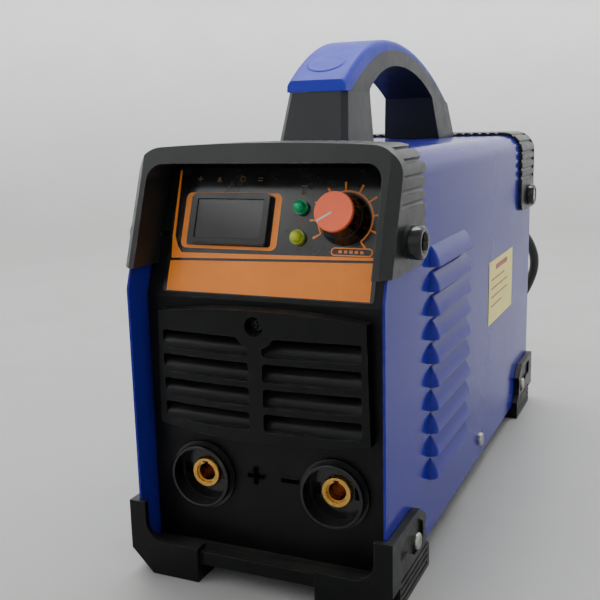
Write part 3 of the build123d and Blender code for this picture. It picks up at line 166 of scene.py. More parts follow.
SQUARE_ENOUGH = 0.9998      # least share of a unit normal along an axis on a flat face


class Tree:
    """Node tree of one material, with short calls for the nodes that the finishes use."""

    def __init__(self, name):
        self.material = bpy.data.materials.new(name)
        self.material.use_nodes = True
        self.tree = self.material.node_tree
        self.tree.nodes.clear()
        out = self.add("ShaderNodeOutputMaterial")
        self.shader = self.add("ShaderNodeBsdfPrincipled")
        self.link(self.shader.outputs["BSDF"], out.inputs["Surface"])
        self.place = self.add("ShaderNodeTexCoord").outputs["Object"]

    def add(self, kind, **settings):
        node = self.tree.nodes.new(kind)
        for key, value in settings.items():
            setattr(node, key, value)
        return node

    def link(self, source, target):
        self.tree.links.new(source, target)

    def noise(self, scale, detail=3.0, rough=0.55, stretch=None):
        """Noise in the piece's own place, finer with scale, and drawn out where stretch is small."""
        node = self.add("ShaderNodeTexNoise")
        node.inputs["Scale"].default_value = scale
        node.inputs["Detail"].default_value = detail
        node.inputs["Roughness"].default_value = rough
        source = self.place
        if stretch:
            mapping = self.add("ShaderNodeMapping")
            mapping.inputs["Scale"].default_value = stretch
            self.link(source, mapping.inputs["Vector"])
            source = mapping.outputs["Vector"]
        self.link(source, node.inputs["Vector"])
        return node.outputs["Fac"]

    def spread(self, source, low, high, to_low=0.0, to_high=1.0):
        """The source's stretch from low to high, mapped onto to_low to to_high and held there."""
        node = self.add("ShaderNodeMapRange")
        limits = {"From Min": low, "From Max": high, "To Min": to_low, "To Max": to_high}
        for socket, value in limits.items():
            node.inputs[socket].default_value = value
        self.link(source, node.inputs["Value"])
        return node.outputs["Result"]

    def math(self, operation, a, b):
        """Result of one sum; a and b are numbers or outputs."""
        node = self.add("ShaderNodeMath", operation=operation)
        for socket, value in zip(node.inputs, (a, b)):
            if isinstance(value, (int, float)):
                socket.default_value = value
            else:
                self.link(value, socket)
        return node.outputs["Value"]

    def mix(self, factor, a, b):
        """Colour between a and b; each is a colour or an output."""
        node = self.add("ShaderNodeMix", data_type="RGBA")
        self.link(factor, node.inputs[0])
        for socket, value in ((node.inputs[6], a), (node.inputs[7], b)):
            if isinstance(value, tuple):
                socket.default_value = value
            else:
                self.link(value, socket)
        return node.outputs[2]

    def bevel(self, radius, samples=4):
        """Normal that rounds sharp edges to this radius."""
        node = self.add("ShaderNodeBevel", samples=samples)
        node.inputs["Radius"].default_value = radius
        return node.outputs["Normal"]

    def bump(self, height, distance, normal=None):
        """Normal bent by relief that is distance metres high, over the given one."""
        node = self.add("ShaderNodeBump")
        node.inputs["Distance"].default_value = distance
        self.link(height, node.inputs["Height"])
        if normal:
            self.link(normal, node.inputs["Normal"])
        return node.outputs["Normal"]

    def flat_faces(self, normal):
        """The face's own normal where it is square to X or Z, and the given one elsewhere."""
        geometry = self.add("ShaderNodeNewGeometry").outputs["True Normal"]
        parts = self.add("ShaderNodeSeparateXYZ")
        self.link(geometry, parts.inputs[0])
        sides = [self.math("ABSOLUTE", parts.outputs[axis], 0.0) for axis in ("X", "Z")]
        square = self.math("GREATER_THAN", self.math("MAXIMUM", *sides), SQUARE_ENOUGH)
        choose = self.add("ShaderNodeMix", data_type="VECTOR")
        self.link(square, choose.inputs[0])
        self.link(normal, choose.inputs[4])
        self.link(geometry, choose.inputs[5])
        return choose.outputs[1]

    def edges(self, radius):
        """Mask that is high along sharp edges, broken up by noise."""
        rounded = self.bevel(radius, 6)
        flat = self.add("ShaderNodeNewGeometry").outputs["Normal"]
        dot = self.add("ShaderNodeVectorMath", operation="DOT_PRODUCT")
        self.link(rounded, dot.inputs[0])
        self.link(flat, dot.inputs[1])
        near = self.spread(dot.outputs["Value"], 0.985, 0.86)
        patchy = self.spread(self.noise(160.0, 4.0, 0.65), 0.44, 0.62)
        return self.math("MULTIPLY", near, patchy)

    def dust(self):
        """Mask of the dust that settles on faces turned up."""
        normal = self.add("ShaderNodeSeparateXYZ")
        self.link(self.add("ShaderNodeNewGeometry").outputs["Normal"], normal.inputs[0])
        upward = self.spread(normal.outputs["Z"], 0.35, 1.0)
        patchy = self.spread(self.noise(45.0, 5.0, 0.65), 0.35, 0.75, 0.25, 1.0)
        return self.math("MULTIPLY", upward, patchy)

    def put(self, **values):
        """Sets or links the shader's sockets, named with _ for a space."""
        for key, value in values.items():
            socket = self.shader.inputs[key.replace("_", " ")]
            if hasattr(value, "links"):
                self.link(value, socket)
            else:
                socket.default_value = value


DUST = linear(150, 147, 140)
DUST_ROUGHENS = 0.4
WEAR_BAND_MM = 1.1          # how far from an edge the wear reaches
GLOSS_PATCHES = 3.1         # how much finer the patches of gloss are than those of colour
ORANGE_PEEL_SCALE = 210.0


def finish(name, colour, rough, metallic=0.0, coat=0.0, coat_rough=0.08, grain=1400.0, grain_mm=0.02,
           mottle=0.10, mottle_scale=28.0, rough_spread=0.07, wear=0.0, wear_colour=None, dust=0.0,
           edge_mm=0.35, peel_mm=0.0, brushed=None, sheen=0.0, specular=0.5, flat=False):
    """Moulded, painted or metal surface: broken-up colour and gloss, grain, soft edges, wear and dust."""
    t = Tree(name)
    broad = t.noise(mottle_scale, 5.0, 0.6)
    look = t.mix(t.spread(broad, 0.3, 0.7), scaled(colour, 1 - mottle), scaled(colour, 1 + mottle))
    if wear:
        look = t.mix(t.math("MULTIPLY", t.edges(WEAR_BAND_MM * MM), wear), look, wear_colour)
    patches = t.noise(mottle_scale * GLOSS_PATCHES, 4.0, 0.65)
    gloss = t.spread(patches, 0.3, 0.7, rough - rough_spread, rough + rough_spread)
    if dust:
        laid = t.math("MULTIPLY", t.dust(), dust)
        look = t.mix(laid, look, DUST)
        gloss = t.math("ADD", gloss, t.math("MULTIPLY", laid, DUST_ROUGHENS))
    normal = t.bevel(edge_mm * MM)
    if flat:
        normal = t.flat_faces(normal)
    if peel_mm:
        normal = t.bump(t.noise(ORANGE_PEEL_SCALE, 2.0, 0.4), peel_mm * MM, normal)
    normal = t.bump(t.noise(grain, 2.0, 0.5, stretch=brushed), grain_mm * MM, normal)
    t.put(Base_Color=look, Roughness=gloss, Normal=normal, Metallic=metallic)
    t.shader.inputs["Specular IOR Level"].default_value = specular
    if coat:
        t.shader.inputs["Coat Weight"].default_value = coat
        t.shader.inputs["Coat Roughness"].default_value = coat_rough
    if sheen:
        t.shader.inputs["Sheen Weight"].default_value = sheen
        t.shader.inputs["Sheen Roughness"].default_value = 0.5
    return t.material


CLEAR_IOR = 1.5
RIPPLE_MM = 0.006
CLEAR_EDGE_MM = 0.3


def clear_finish(name, colour, rough, transmission):
    """Tinted clear plastic with faint ripples and specks."""
    t = Tree(name)
    look = t.mix(t.spread(t.noise(90.0, 4.0), 0.3, 0.7), scaled(colour, 0.9), scaled(colour, 1.06))
    gloss = t.spread(t.noise(60.0, 5.0, 0.6), 0.35, 0.75, rough, rough + 0.07)
    normal = t.bump(t.noise(260.0, 2.0), RIPPLE_MM * MM, t.bevel(CLEAR_EDGE_MM * MM))
    t.put(Base_Color=look, Roughness=gloss, Normal=normal)
    t.shader.inputs["IOR"].default_value = CLEAR_IOR
    t.shader.inputs["Transmission Weight"].default_value = transmission
    return t.material


RING_SHADE_LOW, RING_SHADE_HIGH = 0.5, 0.7      # the rings are darker than the lamps in them
RING_TRANSMISSION = 0.25


def ring_finish(name, upper, lower, divide):
    """Tinted plastic, one colour over a height and another under it."""
    t = Tree(name)
    place = t.add("ShaderNodeSeparateXYZ")
    t.link(t.place, place.inputs[0])
    over = t.spread(place.outputs["Z"], divide - 0.5 * MM, divide + 0.5 * MM)
    shade = t.spread(t.noise(240.0, 4.0), 0.3, 0.7)
    under_look, over_look = (t.mix(shade, scaled(tint, RING_SHADE_LOW), scaled(tint, RING_SHADE_HIGH))
                             for tint in (lower, upper))
    gloss = t.spread(t.noise(150.0, 4.0), 0.3, 0.7, 0.14, 0.26)
    normal = t.bump(t.noise(300.0, 2.0), RIPPLE_MM * MM, t.bevel(CLEAR_EDGE_MM * MM))
    t.put(Base_Color=t.mix(over, under_look, over_look), Roughness=gloss, Normal=normal)
    t.shader.inputs["Transmission Weight"].default_value = RING_TRANSMISSION
    return t.material


def board_finish(name, colour):
    """Solder mask with the faint relief of tracks under it."""
    t = Tree(name)
    brick = t.add("ShaderNodeTexBrick", offset=0.37)
    brick.inputs["Scale"].default_value = 160.0
    brick.inputs["Mortar Size"].default_value = 0.035
    t.link(t.place, brick.inputs["Vector"])
    look = t.mix(brick.outputs["Fac"], scaled(colour, 0.75), scaled(colour, 1.6))
    stain = t.mix(t.spread(t.noise(35.0, 4.0), 0.35, 0.7), look, scaled(colour, 0.9))
    normal = t.bump(brick.outputs["Fac"], 0.04 * MM, t.bevel(0.2 * MM))
    gloss = t.spread(t.noise(110.0), 0.3, 0.7, 0.24, 0.42)
    t.put(Base_Color=stain, Roughness=gloss, Normal=normal)
    return t.material


STAIN = linear(120, 120, 118)
PALE_FROM_HEIGHT = 0.5      # metres over the floor where the wall's colour is reached


def stage_finish(name, floor_colour, wall_colour):
    """Painted floor with faint stains that turns paler as it curves up into the wall."""
    t = Tree(name)
    place = t.add("ShaderNodeSeparateXYZ")
    t.link(t.place, place.inputs[0])
    height = t.spread(place.outputs["Z"], 0.0, PALE_FROM_HEIGHT)
    base = t.mix(height, floor_colour, wall_colour)
    look = t.mix(t.spread(t.noise(5.0, 5.0, 0.6), 0.3, 0.7, 0.0, 0.08), base, STAIN)
    gloss = t.spread(t.noise(16.0, 4.0, 0.6), 0.3, 0.7, 0.42, 0.56)
    t.put(Base_Color=look, Roughness=gloss, Normal=t.bump(t.noise(420.0, 2.0), 0.05 * MM))
    return t.material


def wound_finish(name, colour):
    """Enamelled wire wound in close turns, as rows of ridges, with painted shade in the grooves and painted
    highlight on the crowns.
    """
    t = Tree(name)
    wave = t.add("ShaderNodeTexWave", wave_type="BANDS", bands_direction="Z")
    wave.inputs["Scale"].default_value = 190.0
    wave.inputs["Distortion"].default_value = 0.6
    t.link(t.place, wave.inputs["Vector"])
    # painted shade in the grooves between turns and painted highlight on their crowns
    look = t.mix(wave.outputs["Fac"], scaled(colour, 0.35), scaled(colour, 1.15))
    normal = t.bump(wave.outputs["Fac"], 0.5 * MM)
    gloss = t.spread(t.noise(120.0), 0.3, 0.7, 0.22, 0.4)
    t.put(Base_Color=look, Roughness=gloss, Normal=normal, Metallic=0.6)
    return t.material


PAINT = finish("paint_blue", linear(37, 35, 142), 0.16, specular=0.12, flat=True, grain=900.0,
               grain_mm=0.002, mottle=0.03, mottle_scale=9.0, rough_spread=0.04, wear=0.35,
               wear_colour=linear(96, 102, 190), dust=0.06, peel_mm=0.012, edge_mm=0.6)
CAP_BLUE = finish("plastic_blue", linear(50, 58, 190), 0.44, specular=0.2, grain=1500.0, grain_mm=0.03,
                  mottle=0.06, wear=0.3, wear_colour=linear(120, 135, 225), dust=0.05, edge_mm=0.7)
GREY_PLASTIC = finish("plastic_charcoal", linear(27, 29, 30), 0.36, grain=1300.0, grain_mm=0.04, mottle=0.12,
                      wear=0.4, wear_colour=linear(112, 114, 115), dust=0.25, edge_mm=0.5, specular=0.38)
HANDLE_GREY = finish("plastic_handle", linear(42, 44, 46), 0.42, grain=1300.0, grain_mm=0.04, mottle=0.1,
                     wear=0.4, wear_colour=linear(118, 120, 121), dust=0.25, edge_mm=0.5, specular=0.3)
BLACK_PLASTIC = finish("plastic_black", linear(12, 13, 13), 0.34, grain=1400.0, grain_mm=0.035, mottle=0.14,
                       wear=0.3, wear_colour=linear(84, 86, 86), dust=0.12, edge_mm=0.45, specular=0.2)
SMOOTH_BLACK = finish("plastic_smooth_black", linear(7, 7, 8), 0.18, grain=1200.0, grain_mm=0.012,
                      mottle=0.1, wear=0.2, wear_colour=linear(80, 80, 82), dust=0.1, edge_mm=0.4)
FILM = finish("label_film", linear(12, 12, 13), 0.24, coat=0.4, coat_rough=0.12, grain=2200.0, grain_mm=0.012,
              mottle=0.12, dust=0.02, edge_mm=0.1)
PRINT_ORANGE = finish("print_orange", linear(250, 140, 44), 0.34, grain=2200.0, grain_mm=0.01,
                      mottle=0.07, mottle_scale=60.0, edge_mm=0.05, coat=0.1, coat_rough=0.12,
                      specular=0.35)
# orange print darkened as painted shade, for the bezel's shadow over the top of the label
PRINT_SHADED_ORANGE = finish("print_orange_painted_shade", linear(96, 70, 50), 0.42, grain=2200.0, grain_mm=0.01, mottle=0.12,
                   mottle_scale=80.0, edge_mm=0.05)
PRINT_RED = finish("print_red", linear(176, 60, 44), 0.4, grain=2200.0, grain_mm=0.01, mottle=0.12,
                   mottle_scale=80.0, edge_mm=0.05)
PRINT_WHITE = finish("print_white", linear(196, 196, 190), 0.4, grain=2200.0, grain_mm=0.01, mottle=0.06,
                     mottle_scale=80.0, edge_mm=0.05)
STICKER = finish("sticker_yellow", linear(246, 232, 96), 0.38, grain=1800.0, grain_mm=0.012, mottle=0.05,
                 mottle_scale=40.0, edge_mm=0.1, coat=0.25, wear=0.2, wear_colour=linear(238, 232, 190))
KNOB_ORANGE = finish("plastic_orange", linear(255, 104, 62), 0.36, grain=1500.0, grain_mm=0.02, mottle=0.06,
                     mottle_scale=70.0, wear=0.25, wear_colour=linear(246, 150, 120), edge_mm=0.45)
GREEN, YELLOW = linear(16, 196, 124), linear(214, 232, 70)
LAMP_GREEN = clear_finish("lens_green", GREEN, 0.12, transmission=0.2)
LAMP_YELLOW = clear_finish("lens_yellow", YELLOW, 0.12, transmission=0.2)
rings_low, rings_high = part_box("lamp_holders")
LAMP_RINGS = ring_finish("lens_rings", GREEN, YELLOW, (rings_low.z + rings_high.z) / 2)
SMOKED = clear_finish("glass_smoked", linear(96, 96, 94), 0.10, transmission=0.9)
MARK_BLACK = finish("mark_black", linear(3, 3, 3), 0.6, grain=1400.0, grain_mm=0.01, mottle=0.2,
                    edge_mm=0.1, specular=0.02)
DISPLAY = finish("display_face", linear(62, 66, 62), 0.45, grain=2600.0, grain_mm=0.01, mottle=0.08,
                 mottle_scale=70.0, edge_mm=0.1)
BRASS = finish("brass", linear(206, 160, 84), 0.28, metallic=1.0, grain=1600.0, grain_mm=0.02, mottle=0.16,
               mottle_scale=120.0, rough_spread=0.12, edge_mm=0.3, brushed=(1.0, 0.15, 1.0),
               wear=0.3, wear_colour=linear(236, 206, 140))
COPPER = finish("copper", linear(196, 110, 76), 0.32, metallic=1.0, grain=1200.0, grain_mm=0.02, mottle=0.18,
                mottle_scale=60.0, rough_spread=0.12, edge_mm=0.25, brushed=(1.0, 0.12, 1.0))
BLACK_STEEL = finish("steel_painted_black", linear(12, 12, 13), 0.40, grain=700.0, grain_mm=0.04, mottle=0.14,
                     wear=0.3, wear_colour=linear(90, 90, 92), dust=0.15, edge_mm=0.5, specular=0.22)
CHROME = finish("steel_chromed", linear(196, 198, 202), 0.18, metallic=1.0, grain=900.0, grain_mm=0.006,
                mottle=0.08, mottle_scale=90.0, rough_spread=0.08, edge_mm=0.3)
ZINC = finish("steel_zinc", linear(176, 176, 170), 0.34, metallic=1.0, grain=1100.0, grain_mm=0.02,
              mottle=0.14, mottle_scale=160.0, rough_spread=0.12, edge_mm=0.25)
DARK_SCREW = finish("steel_blackened", linear(34, 34, 36), 0.36, metallic=0.7, grain=1200.0,
                    grain_mm=0.02, mottle=0.16, mottle_scale=160.0, edge_mm=0.25,
                    wear=0.5, wear_colour=linear(120, 120, 120))
ROCKER_RED = finish("plastic_red", linear(178, 26, 22), 0.30, grain=1500.0, grain_mm=0.015, mottle=0.07,
                    mottle_scale=90.0, edge_mm=0.5, wear=0.2, wear_colour=linear(220, 110, 100))
RUBBER = finish("rubber_lead", linear(22, 22, 23), 0.55, grain=1000.0, grain_mm=0.05, mottle=0.16,
                mottle_scale=70.0, dust=0.3, edge_mm=0.3, sheen=0.2)
ALUMINIUM = finish("aluminium", linear(186, 188, 190), 0.36, metallic=1.0, grain=700.0, grain_mm=0.03,
                   mottle=0.08, brushed=(1.0, 0.06, 1.0), edge_mm=0.3, rough_spread=0.1)
FERRITE = finish("ferrite", linear(50, 48, 48), 0.6, grain=1100.0, grain_mm=0.06, mottle=0.2,
                 mottle_scale=120.0, edge_mm=0.5, wear=0.4, wear_colour=linear(120, 116, 112))
SLEEVE = finish("capacitor_sleeve", linear(30, 40, 62), 0.26, grain=900.0, grain_mm=0.012, mottle=0.08,
                coat=0.3, edge_mm=0.3)
BOARD = board_finish("circuit_board", linear(20, 92, 52))
WINDING = wound_finish("winding_wire", linear(176, 84, 40))

NODE_FINISH = {
    "cover": PAINT, "handle_cap": CAP_BLUE,
    "front_bezel": GREY_PLASTIC, "rear_band": GREY_PLASTIC, "front_foot": BLACK_PLASTIC,
    "rear_foot": BLACK_PLASTIC, "handle_body": HANDLE_GREY,
    "vent_grille": BLACK_PLASTIC, "positive_socket_shell": SMOOTH_BLACK,
    "negative_socket_shell": SMOOTH_BLACK, "fan_frame": BLACK_PLASTIC, "fan_rotor": BLACK_PLASTIC,
    "switch_body": BLACK_PLASTIC, "cable_gland": BLACK_PLASTIC, "gland_nut": BLACK_PLASTIC,
    "plug_body": BLACK_PLASTIC, "socket_nuts": BLACK_PLASTIC, "knob_body": SMOOTH_BLACK,
    "front_panel": BLACK_STEEL, "rear_panel": BLACK_STEEL, "base_tray": BLACK_STEEL,
    "control_label": FILM, "meter_bezel": SMOOTH_BLACK, "meter_window": SMOKED, "display_module": DISPLAY,
    "green_lamp": LAMP_GREEN, "yellow_lamp": LAMP_YELLOW, "lamp_holders": LAMP_RINGS,
    "knob_cap": KNOB_ORANGE, "knob_pointer": PRINT_WHITE, "side_label": STICKER,
    "positive_socket_insert": BRASS, "negative_socket_insert": BRASS, "bus_bars": COPPER,
    "plug_blades": BRASS, "earth_stud": BRASS, "earth_wing_nut": BRASS,
    "pot_shaft": ZINC, "pot_nut": ZINC, "potentiometer": ZINC, "board_standoffs": ZINC,
    "grille_screw": DARK_SCREW, "moulding_screws": ZINC, "side_screws": ZINC, "handle_screws": ZINC,
    "fan_screws": ZINC, "fan_guard": CHROME, "switch_rocker": ROCKER_RED,
    "control_board": BOARD, "main_board": BOARD, "heat_sinks": ALUMINIUM, "power_transistors": SMOOTH_BLACK,
    "transformer_core": FERRITE, "transformer_winding": WINDING, "output_choke": WINDING,
    "bus_capacitors": SLEEVE, "rectifier_bridge": SMOOTH_BLACK,
}


def paint(piece, material):
    """Gives the piece this material and no other."""
    piece.data.materials.clear()
    piece.data.materials.append(material)


for node_name, material in NODE_FINISH.items():
    paint(nodes[node_name], material)
paint(lead, RUBBER)


# ---- pieces made face by face ----------------------------------------------------------------
def around(build, sides, place):
    """Closed ring of vertices, each where place() puts its angle."""
    return [build.verts.new(place(math.tau * k / sides)) for k in range(sides)]


def join_rings(build, one, other):
    """Band of quads between two closed rings of vertices."""
    count = len(one)
    for k in range(count):
        after = (k + 1) % count
        build.faces.new([one[k], one[after], other[after], other[k]])


def mesh_piece(name, build, material, smooth=False):
    """Painted object in the scene that takes its mesh from build."""
    for face in build.faces:
        face.smooth = smooth
    build.normal_update()
    mesh = bpy.data.meshes.new(name)
    build.to_mesh(mesh)
    build.free()
    piece = bpy.data.objects.new(name, mesh)
    scene.collection.objects.link(piece)
    paint(piece, material)
    return piece


# ---- print on the control panel, the polarity marks and the sticker --------------------------
LEAN = math.radians(20.0)                   # how far the control panel leans back
OUT = Vector((0, -math.cos(LEAN), math.sin(LEAN)))
UP = Vector((0, math.sin(LEAN), math.cos(LEAN)))
LABEL_THICK, LABEL_FOOT_S = 0.35, 2.0
PRINT_OUT = 0.05                            # how far print stands out from its face, in millimetres
label_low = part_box("control_label")[0]
LABEL_FOOT = Vector((0, label_low.y, label_low.z + LABEL_THICK * MM * math.sin(LEAN)))


def on_panel(x, s):
    """Place over the label's face, in millimetres: x across and s up the slope."""
    return LABEL_FOOT + Vector((x * MM, 0, 0)) + UP * ((s - LABEL_FOOT_S) * MM) + OUT * (PRINT_OUT * MM)


def printed(name, shapes, material, place=on_panel):
    """One flat piece from closed outlines, each a list of the pairs that place() takes."""
    build = bmesh.new()
    for shape in shapes:
        build.faces.new([build.verts.new(place(*pair)) for pair in shape])
    piece = mesh_piece(name, build, material)
    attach(piece, "housing")


def arc(cx, cs, r, start, end, count):
    """Points along an arc; degrees, from the right, turning left."""
    steps = [math.radians(start + (end - start) * k / count) for k in range(count + 1)]
    return [(cx + r * math.cos(a), cs + r * math.sin(a)) for a in steps]


def rounded(x0, x1, s0, s1, r):
    """Outline of a rectangle with round corners."""
    corners = ((x1 - r, s1 - r, 0), (x0 + r, s1 - r, 90), (x0 + r, s0 + r, 180), (x1 - r, s0 + r, 270))
    return [p for cx, cs, a in corners for p in arc(cx, cs, r, a, a + 90, 6)]


def ring(outer, inner):
    """Quads between two closed outlines with the same number of points."""
    count = len(outer)
    return [[outer[k], outer[(k + 1) % count], inner[(k + 1) % count], inner[k]] for k in range(count)]


def band(cx, cs, r0, r1, start, end, count=40):
    """Quads along an arc, between two radii."""
    low, high = arc(cx, cs, r0, start, end, count), arc(cx, cs, r1, start, end, count)
    return [[low[k], low[k + 1], high[k + 1], high[k]] for k in range(count)]


def bar(x, s, wide, tall):
    """Outline of a rectangle about its middle."""
    return [(x - wide / 2, s - tall / 2), (x + wide / 2, s - tall / 2), (x + wide / 2, s + tall / 2),
            (x - wide / 2, s + tall / 2)]


printed("display_border", ring(rounded(-48.0, 3.8, 24.0, 51.8, 3.2), rounded(-45.0, 0.5, 25.5, 50.5, 1.4)),
        PRINT_ORANGE)
printed("panel_lines", [
    [(-53.6, 63.0), (-52.5, 63.0), (-51.6, 30.0), (-53.2, 30.0)],
    [(-53.2, 30.0), (-51.6, 30.0), (-49.6, 25.0), (-46.9, 21.6), (-47.0, 18.9), (-52.2, 18.6)],
    [(-47.0, 18.9), (-46.9, 21.6), (52.5, 22.7), (52.5, 21.4)],
    [(53.2, 21.4), (52.5, 21.4), (52.5, 22.7), (52.0, 60.0), (52.7, 60.0)],
], PRINT_ORANGE)
printed("panel_field", [[(-52.6, 2.6), (52.6, 2.6), (52.6, 20.2), (-46.0, 17.6), (-52.6, 17.4)]],
        PRINT_ORANGE)

KNOB_X, KNOB_S = 36.7, 40.0
SCALE_START, SCALE_END, SCALE_STEPS = 212.0, -50.0, 9
SCALE_R0, SCALE_R1 = 12.9, 13.6
TICK_FOOT_R, TICK_TIP_R = 13.4, 17.6
TICK_FOOT_HALF, TICK_TIP_HALF = 0.35, 0.55


def tick(step):
    """Outline of one mark of the knob's scale, a little wider at its tip."""
    angle = math.radians(SCALE_START + (SCALE_END - SCALE_START) * step / SCALE_STEPS)
    along, across = (math.cos(angle), math.sin(angle)), (-math.sin(angle), math.cos(angle))
    corners = ((TICK_FOOT_R, -TICK_FOOT_HALF), (TICK_TIP_R, -TICK_TIP_HALF),
               (TICK_TIP_R, TICK_TIP_HALF), (TICK_FOOT_R, TICK_FOOT_HALF))
    return [(KNOB_X + along[0] * r + across[0] * w, KNOB_S + along[1] * r + across[1] * w)
            for r, w in corners]


ticks = [tick(step) for step in range(SCALE_STEPS + 1)]
printed("knob_scale", band(KNOB_X, KNOB_S, SCALE_R0, SCALE_R1, SCALE_END, SCALE_START) + ticks, PRINT_ORANGE)
TAG_BARS, TAG_BAR_X, TAG_BAR_PITCH = 5, 36.0, 2.6
printed("knob_tag", ring(rounded(31.4, 51.6, 22.9, 26.9, 1.9), rounded(32.0, 51.0, 23.5, 26.3, 1.3))
        + [bar(TAG_BAR_X + TAG_BAR_PITCH * k, 24.9, 1.6, 1.3) for k in range(TAG_BARS)], PRINT_ORANGE)
# the icons at the top of the label take the orange print darkened as painted shade
printed("panel_icons", [
    bar(-41.7, 58.6, 0.7, 3.0), bar(-41.7, 58.6, 3.0, 0.7),
    [(-32.4, 57.2), (-29.4, 57.2), (-30.9, 60.0)],
    *band(-18.2, 58.6, 1.0, 1.6, 0, 360, 20),
    bar(-8.8, 59.2, 2.6, 0.6), bar(-8.8, 57.8, 2.6, 0.6),
], PRINT_SHADED_ORANGE)
LAMPS_X = 14.6
# the lamp marks take the same orange print darkened as painted shade
printed("lamp_marks", [bar(LAMPS_X, 52.4, 2.0, 2.6), bar(LAMPS_X, 55.4, 3.0, 0.7),
                       bar(LAMPS_X, 37.7, 2.0, 3.6), bar(LAMPS_X, 24.2, 2.6, 0.7)], PRINT_SHADED_ORANGE)

# dull black faces of the raised polarity marks
MARK_FACE_Y, MARK_Z = -161.0, 52.7
MARK_LONG, MARK_WIDE = 9.0, 2.2
PLUS_X, MINUS_X = -6.2, 11.8


def on_front(x, z):
    """Place over the marks' faces on the lower front panel, in millimetres."""
    return Vector((x * MM, (MARK_FACE_Y - PRINT_OUT) * MM, z * MM))


ARM_LONG = (MARK_LONG - MARK_WIDE) / 2      # how far the plus sign's upright reaches past its bar
ARM_MIDDLE = (MARK_LONG + MARK_WIDE) / 4
printed("polarity_marks", [
    bar(PLUS_X, MARK_Z, MARK_LONG, MARK_WIDE), bar(MINUS_X, MARK_Z, MARK_LONG, MARK_WIDE),
    bar(PLUS_X, MARK_Z + ARM_MIDDLE, MARK_WIDE, ARM_LONG),
    bar(PLUS_X, MARK_Z - ARM_MIDDLE, MARK_WIDE, ARM_LONG),
], MARK_BLACK, place=on_front)

# rows of plain bars on the sticker
sticker_low, sticker_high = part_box("side_label")
STICKER_MIDDLE = (sticker_low + sticker_high) / 2


def on_sticker(y, z):
    """Place over the sticker's face, in millimetres: y and z from its middle."""
    return Vector((sticker_high.x + PRINT_OUT * MM, STICKER_MIDDLE.y + y * MM, STICKER_MIDDLE.z + z * MM))


sticker_wide = (sticker_high.y - sticker_low.y) / MM
sticker_tall = (sticker_high.z - sticker_low.z) / MM
# shares of the sticker's width and height: how long each row is, where rows start, and how they step down
ROW_SHARES = (0.56, 0.70, 0.70, 0.44)
ROW_FIELD, FIRST_ROW, ROW_STEP = 0.84, 0.20, 0.14
ROW_TALL = 1.1
rows = [bar(-sticker_wide * (ROW_FIELD - share) / 2, sticker_tall * (FIRST_ROW - ROW_STEP * row),
            sticker_wide * share, ROW_TALL) for row, share in enumerate(ROW_SHARES)]
printed("sticker_bars", rows, PRINT_RED, place=on_sticker)
printed("sticker_block", [bar(0, sticker_tall * 0.37, sticker_wide * 0.5, 3.4)], PRINT_RED,
        place=on_sticker)

# ---- glossy black sleeves on the screw bosses, as painted shade over the mouldings' plastic ---
SLEEVE_SIDES = 40
BOSS_R, BOSS_MOUTH_R = 7.3, 4.9
SLEEVE_OUTSIDE, SLEEVE_TIP, SLEEVE_INSIDE = 0.25, 0.12, 0.12      # the sleeve's thickness round the boss
SLEEVE_DEEP = 3.2                                                # how far it goes into the mouth
# middle of the boss (y, z), then how far out its foot and its tip are
BOSSES = (((-149.0, 168.0), 68.6, 74.5), ((153.0, 164.0), 67.6, 72.0))


def make_boss_shade_sleeves():
    """Thin black turned shells over the bosses of both mouldings, on both sides: painted shade over the
    plastic that the bosses are made of.
    """
    build = bmesh.new()
    for (y, z), foot, tip in BOSSES:
        outside, inside = BOSS_R + SLEEVE_OUTSIDE, BOSS_MOUTH_R - SLEEVE_INSIDE
        profile = ((foot, outside), (tip - 0.7, outside), (tip + SLEEVE_TIP, BOSS_R - 0.6),
                   (tip + SLEEVE_TIP, BOSS_MOUTH_R + 0.5), (tip - 0.3, inside), (tip - SLEEVE_DEEP, inside))
        for side in (-1, 1):
            rings = []
            for x, r in profile:
                rings.append(around(build, SLEEVE_SIDES, lambda a: (
                    side * x * MM, (y + r * math.cos(a)) * MM, (z + r * math.sin(a)) * MM)))
            for near, far in zip(rings, rings[1:]):
                join_rings(build, near, far)
    bmesh.ops.recalc_face_normals(build, faces=build.faces)
    piece = mesh_piece("boss_shade_sleeves", build, SMOOTH_BLACK, smooth=True)
    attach(piece, "housing")


make_boss_shade_sleeves()

# ---- oval plate on the front slope of the handle ---------------------------------------------
PLATE_Y, PLATE_HALF_X, PLATE_HALF_Y = -76.0, 10.4, 8.2
PLATE_SIDES = 48
RIM_RISE, FIELD_RISE = 0.5, 0.28
# share of the plate's size and rise over the cap, from its sunk edge over the rim to the flat field
PLATE_RINGS = ((1.06, -0.3), (1.0, 0.35), (0.95, RIM_RISE), (0.9, RIM_RISE),
               (0.84, FIELD_RISE), (0.6, FIELD_RISE), (0.3, FIELD_RISE))
OVER_CAP = 0.4              # metres: a height over the whole handle
DOWN = Vector((0, 0, -1))


def make_cap_plate():
    """Low oval pad that follows the crown of the handle cap."""
    cap = nodes["handle_cap"].data
    skin = BVHTree.FromPolygons([v.co for v in cap.vertices], [p.vertices for p in cap.polygons])

    def over_cap(angle, share, rise):
        x = PLATE_HALF_X * share * math.cos(angle)
        y = PLATE_Y + PLATE_HALF_Y * share * math.sin(angle)
        spot, normal, _, _ = skin.ray_cast(Vector((x * MM, y * MM, OVER_CAP)), DOWN)
        return spot + normal * (rise * MM)

    build = bmesh.new()
    rings = []
    for share, rise in PLATE_RINGS:
        rings.append(around(build, PLATE_SIDES, lambda angle: over_cap(angle, share, rise)))
    for outer, inner in zip(rings, rings[1:]):
        join_rings(build, outer, inner)
    build.faces.new(rings[-1])
    piece = mesh_piece("cap_plate", build, CAP_BLUE, smooth=True)
    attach(piece, "housing")


make_cap_plate()

# ---- floor and light -------------------------------------------------------------------------
FLOOR_DROP = 0.0002         # metres between the feet and the floor, so that they share no face
FLOOR_R, COVE_R, WALL_TOP = 1.2, 0.7, 2.3
STAGE_SIDES, FLOOR_RINGS, COVE_STEPS = 128, 4, 16


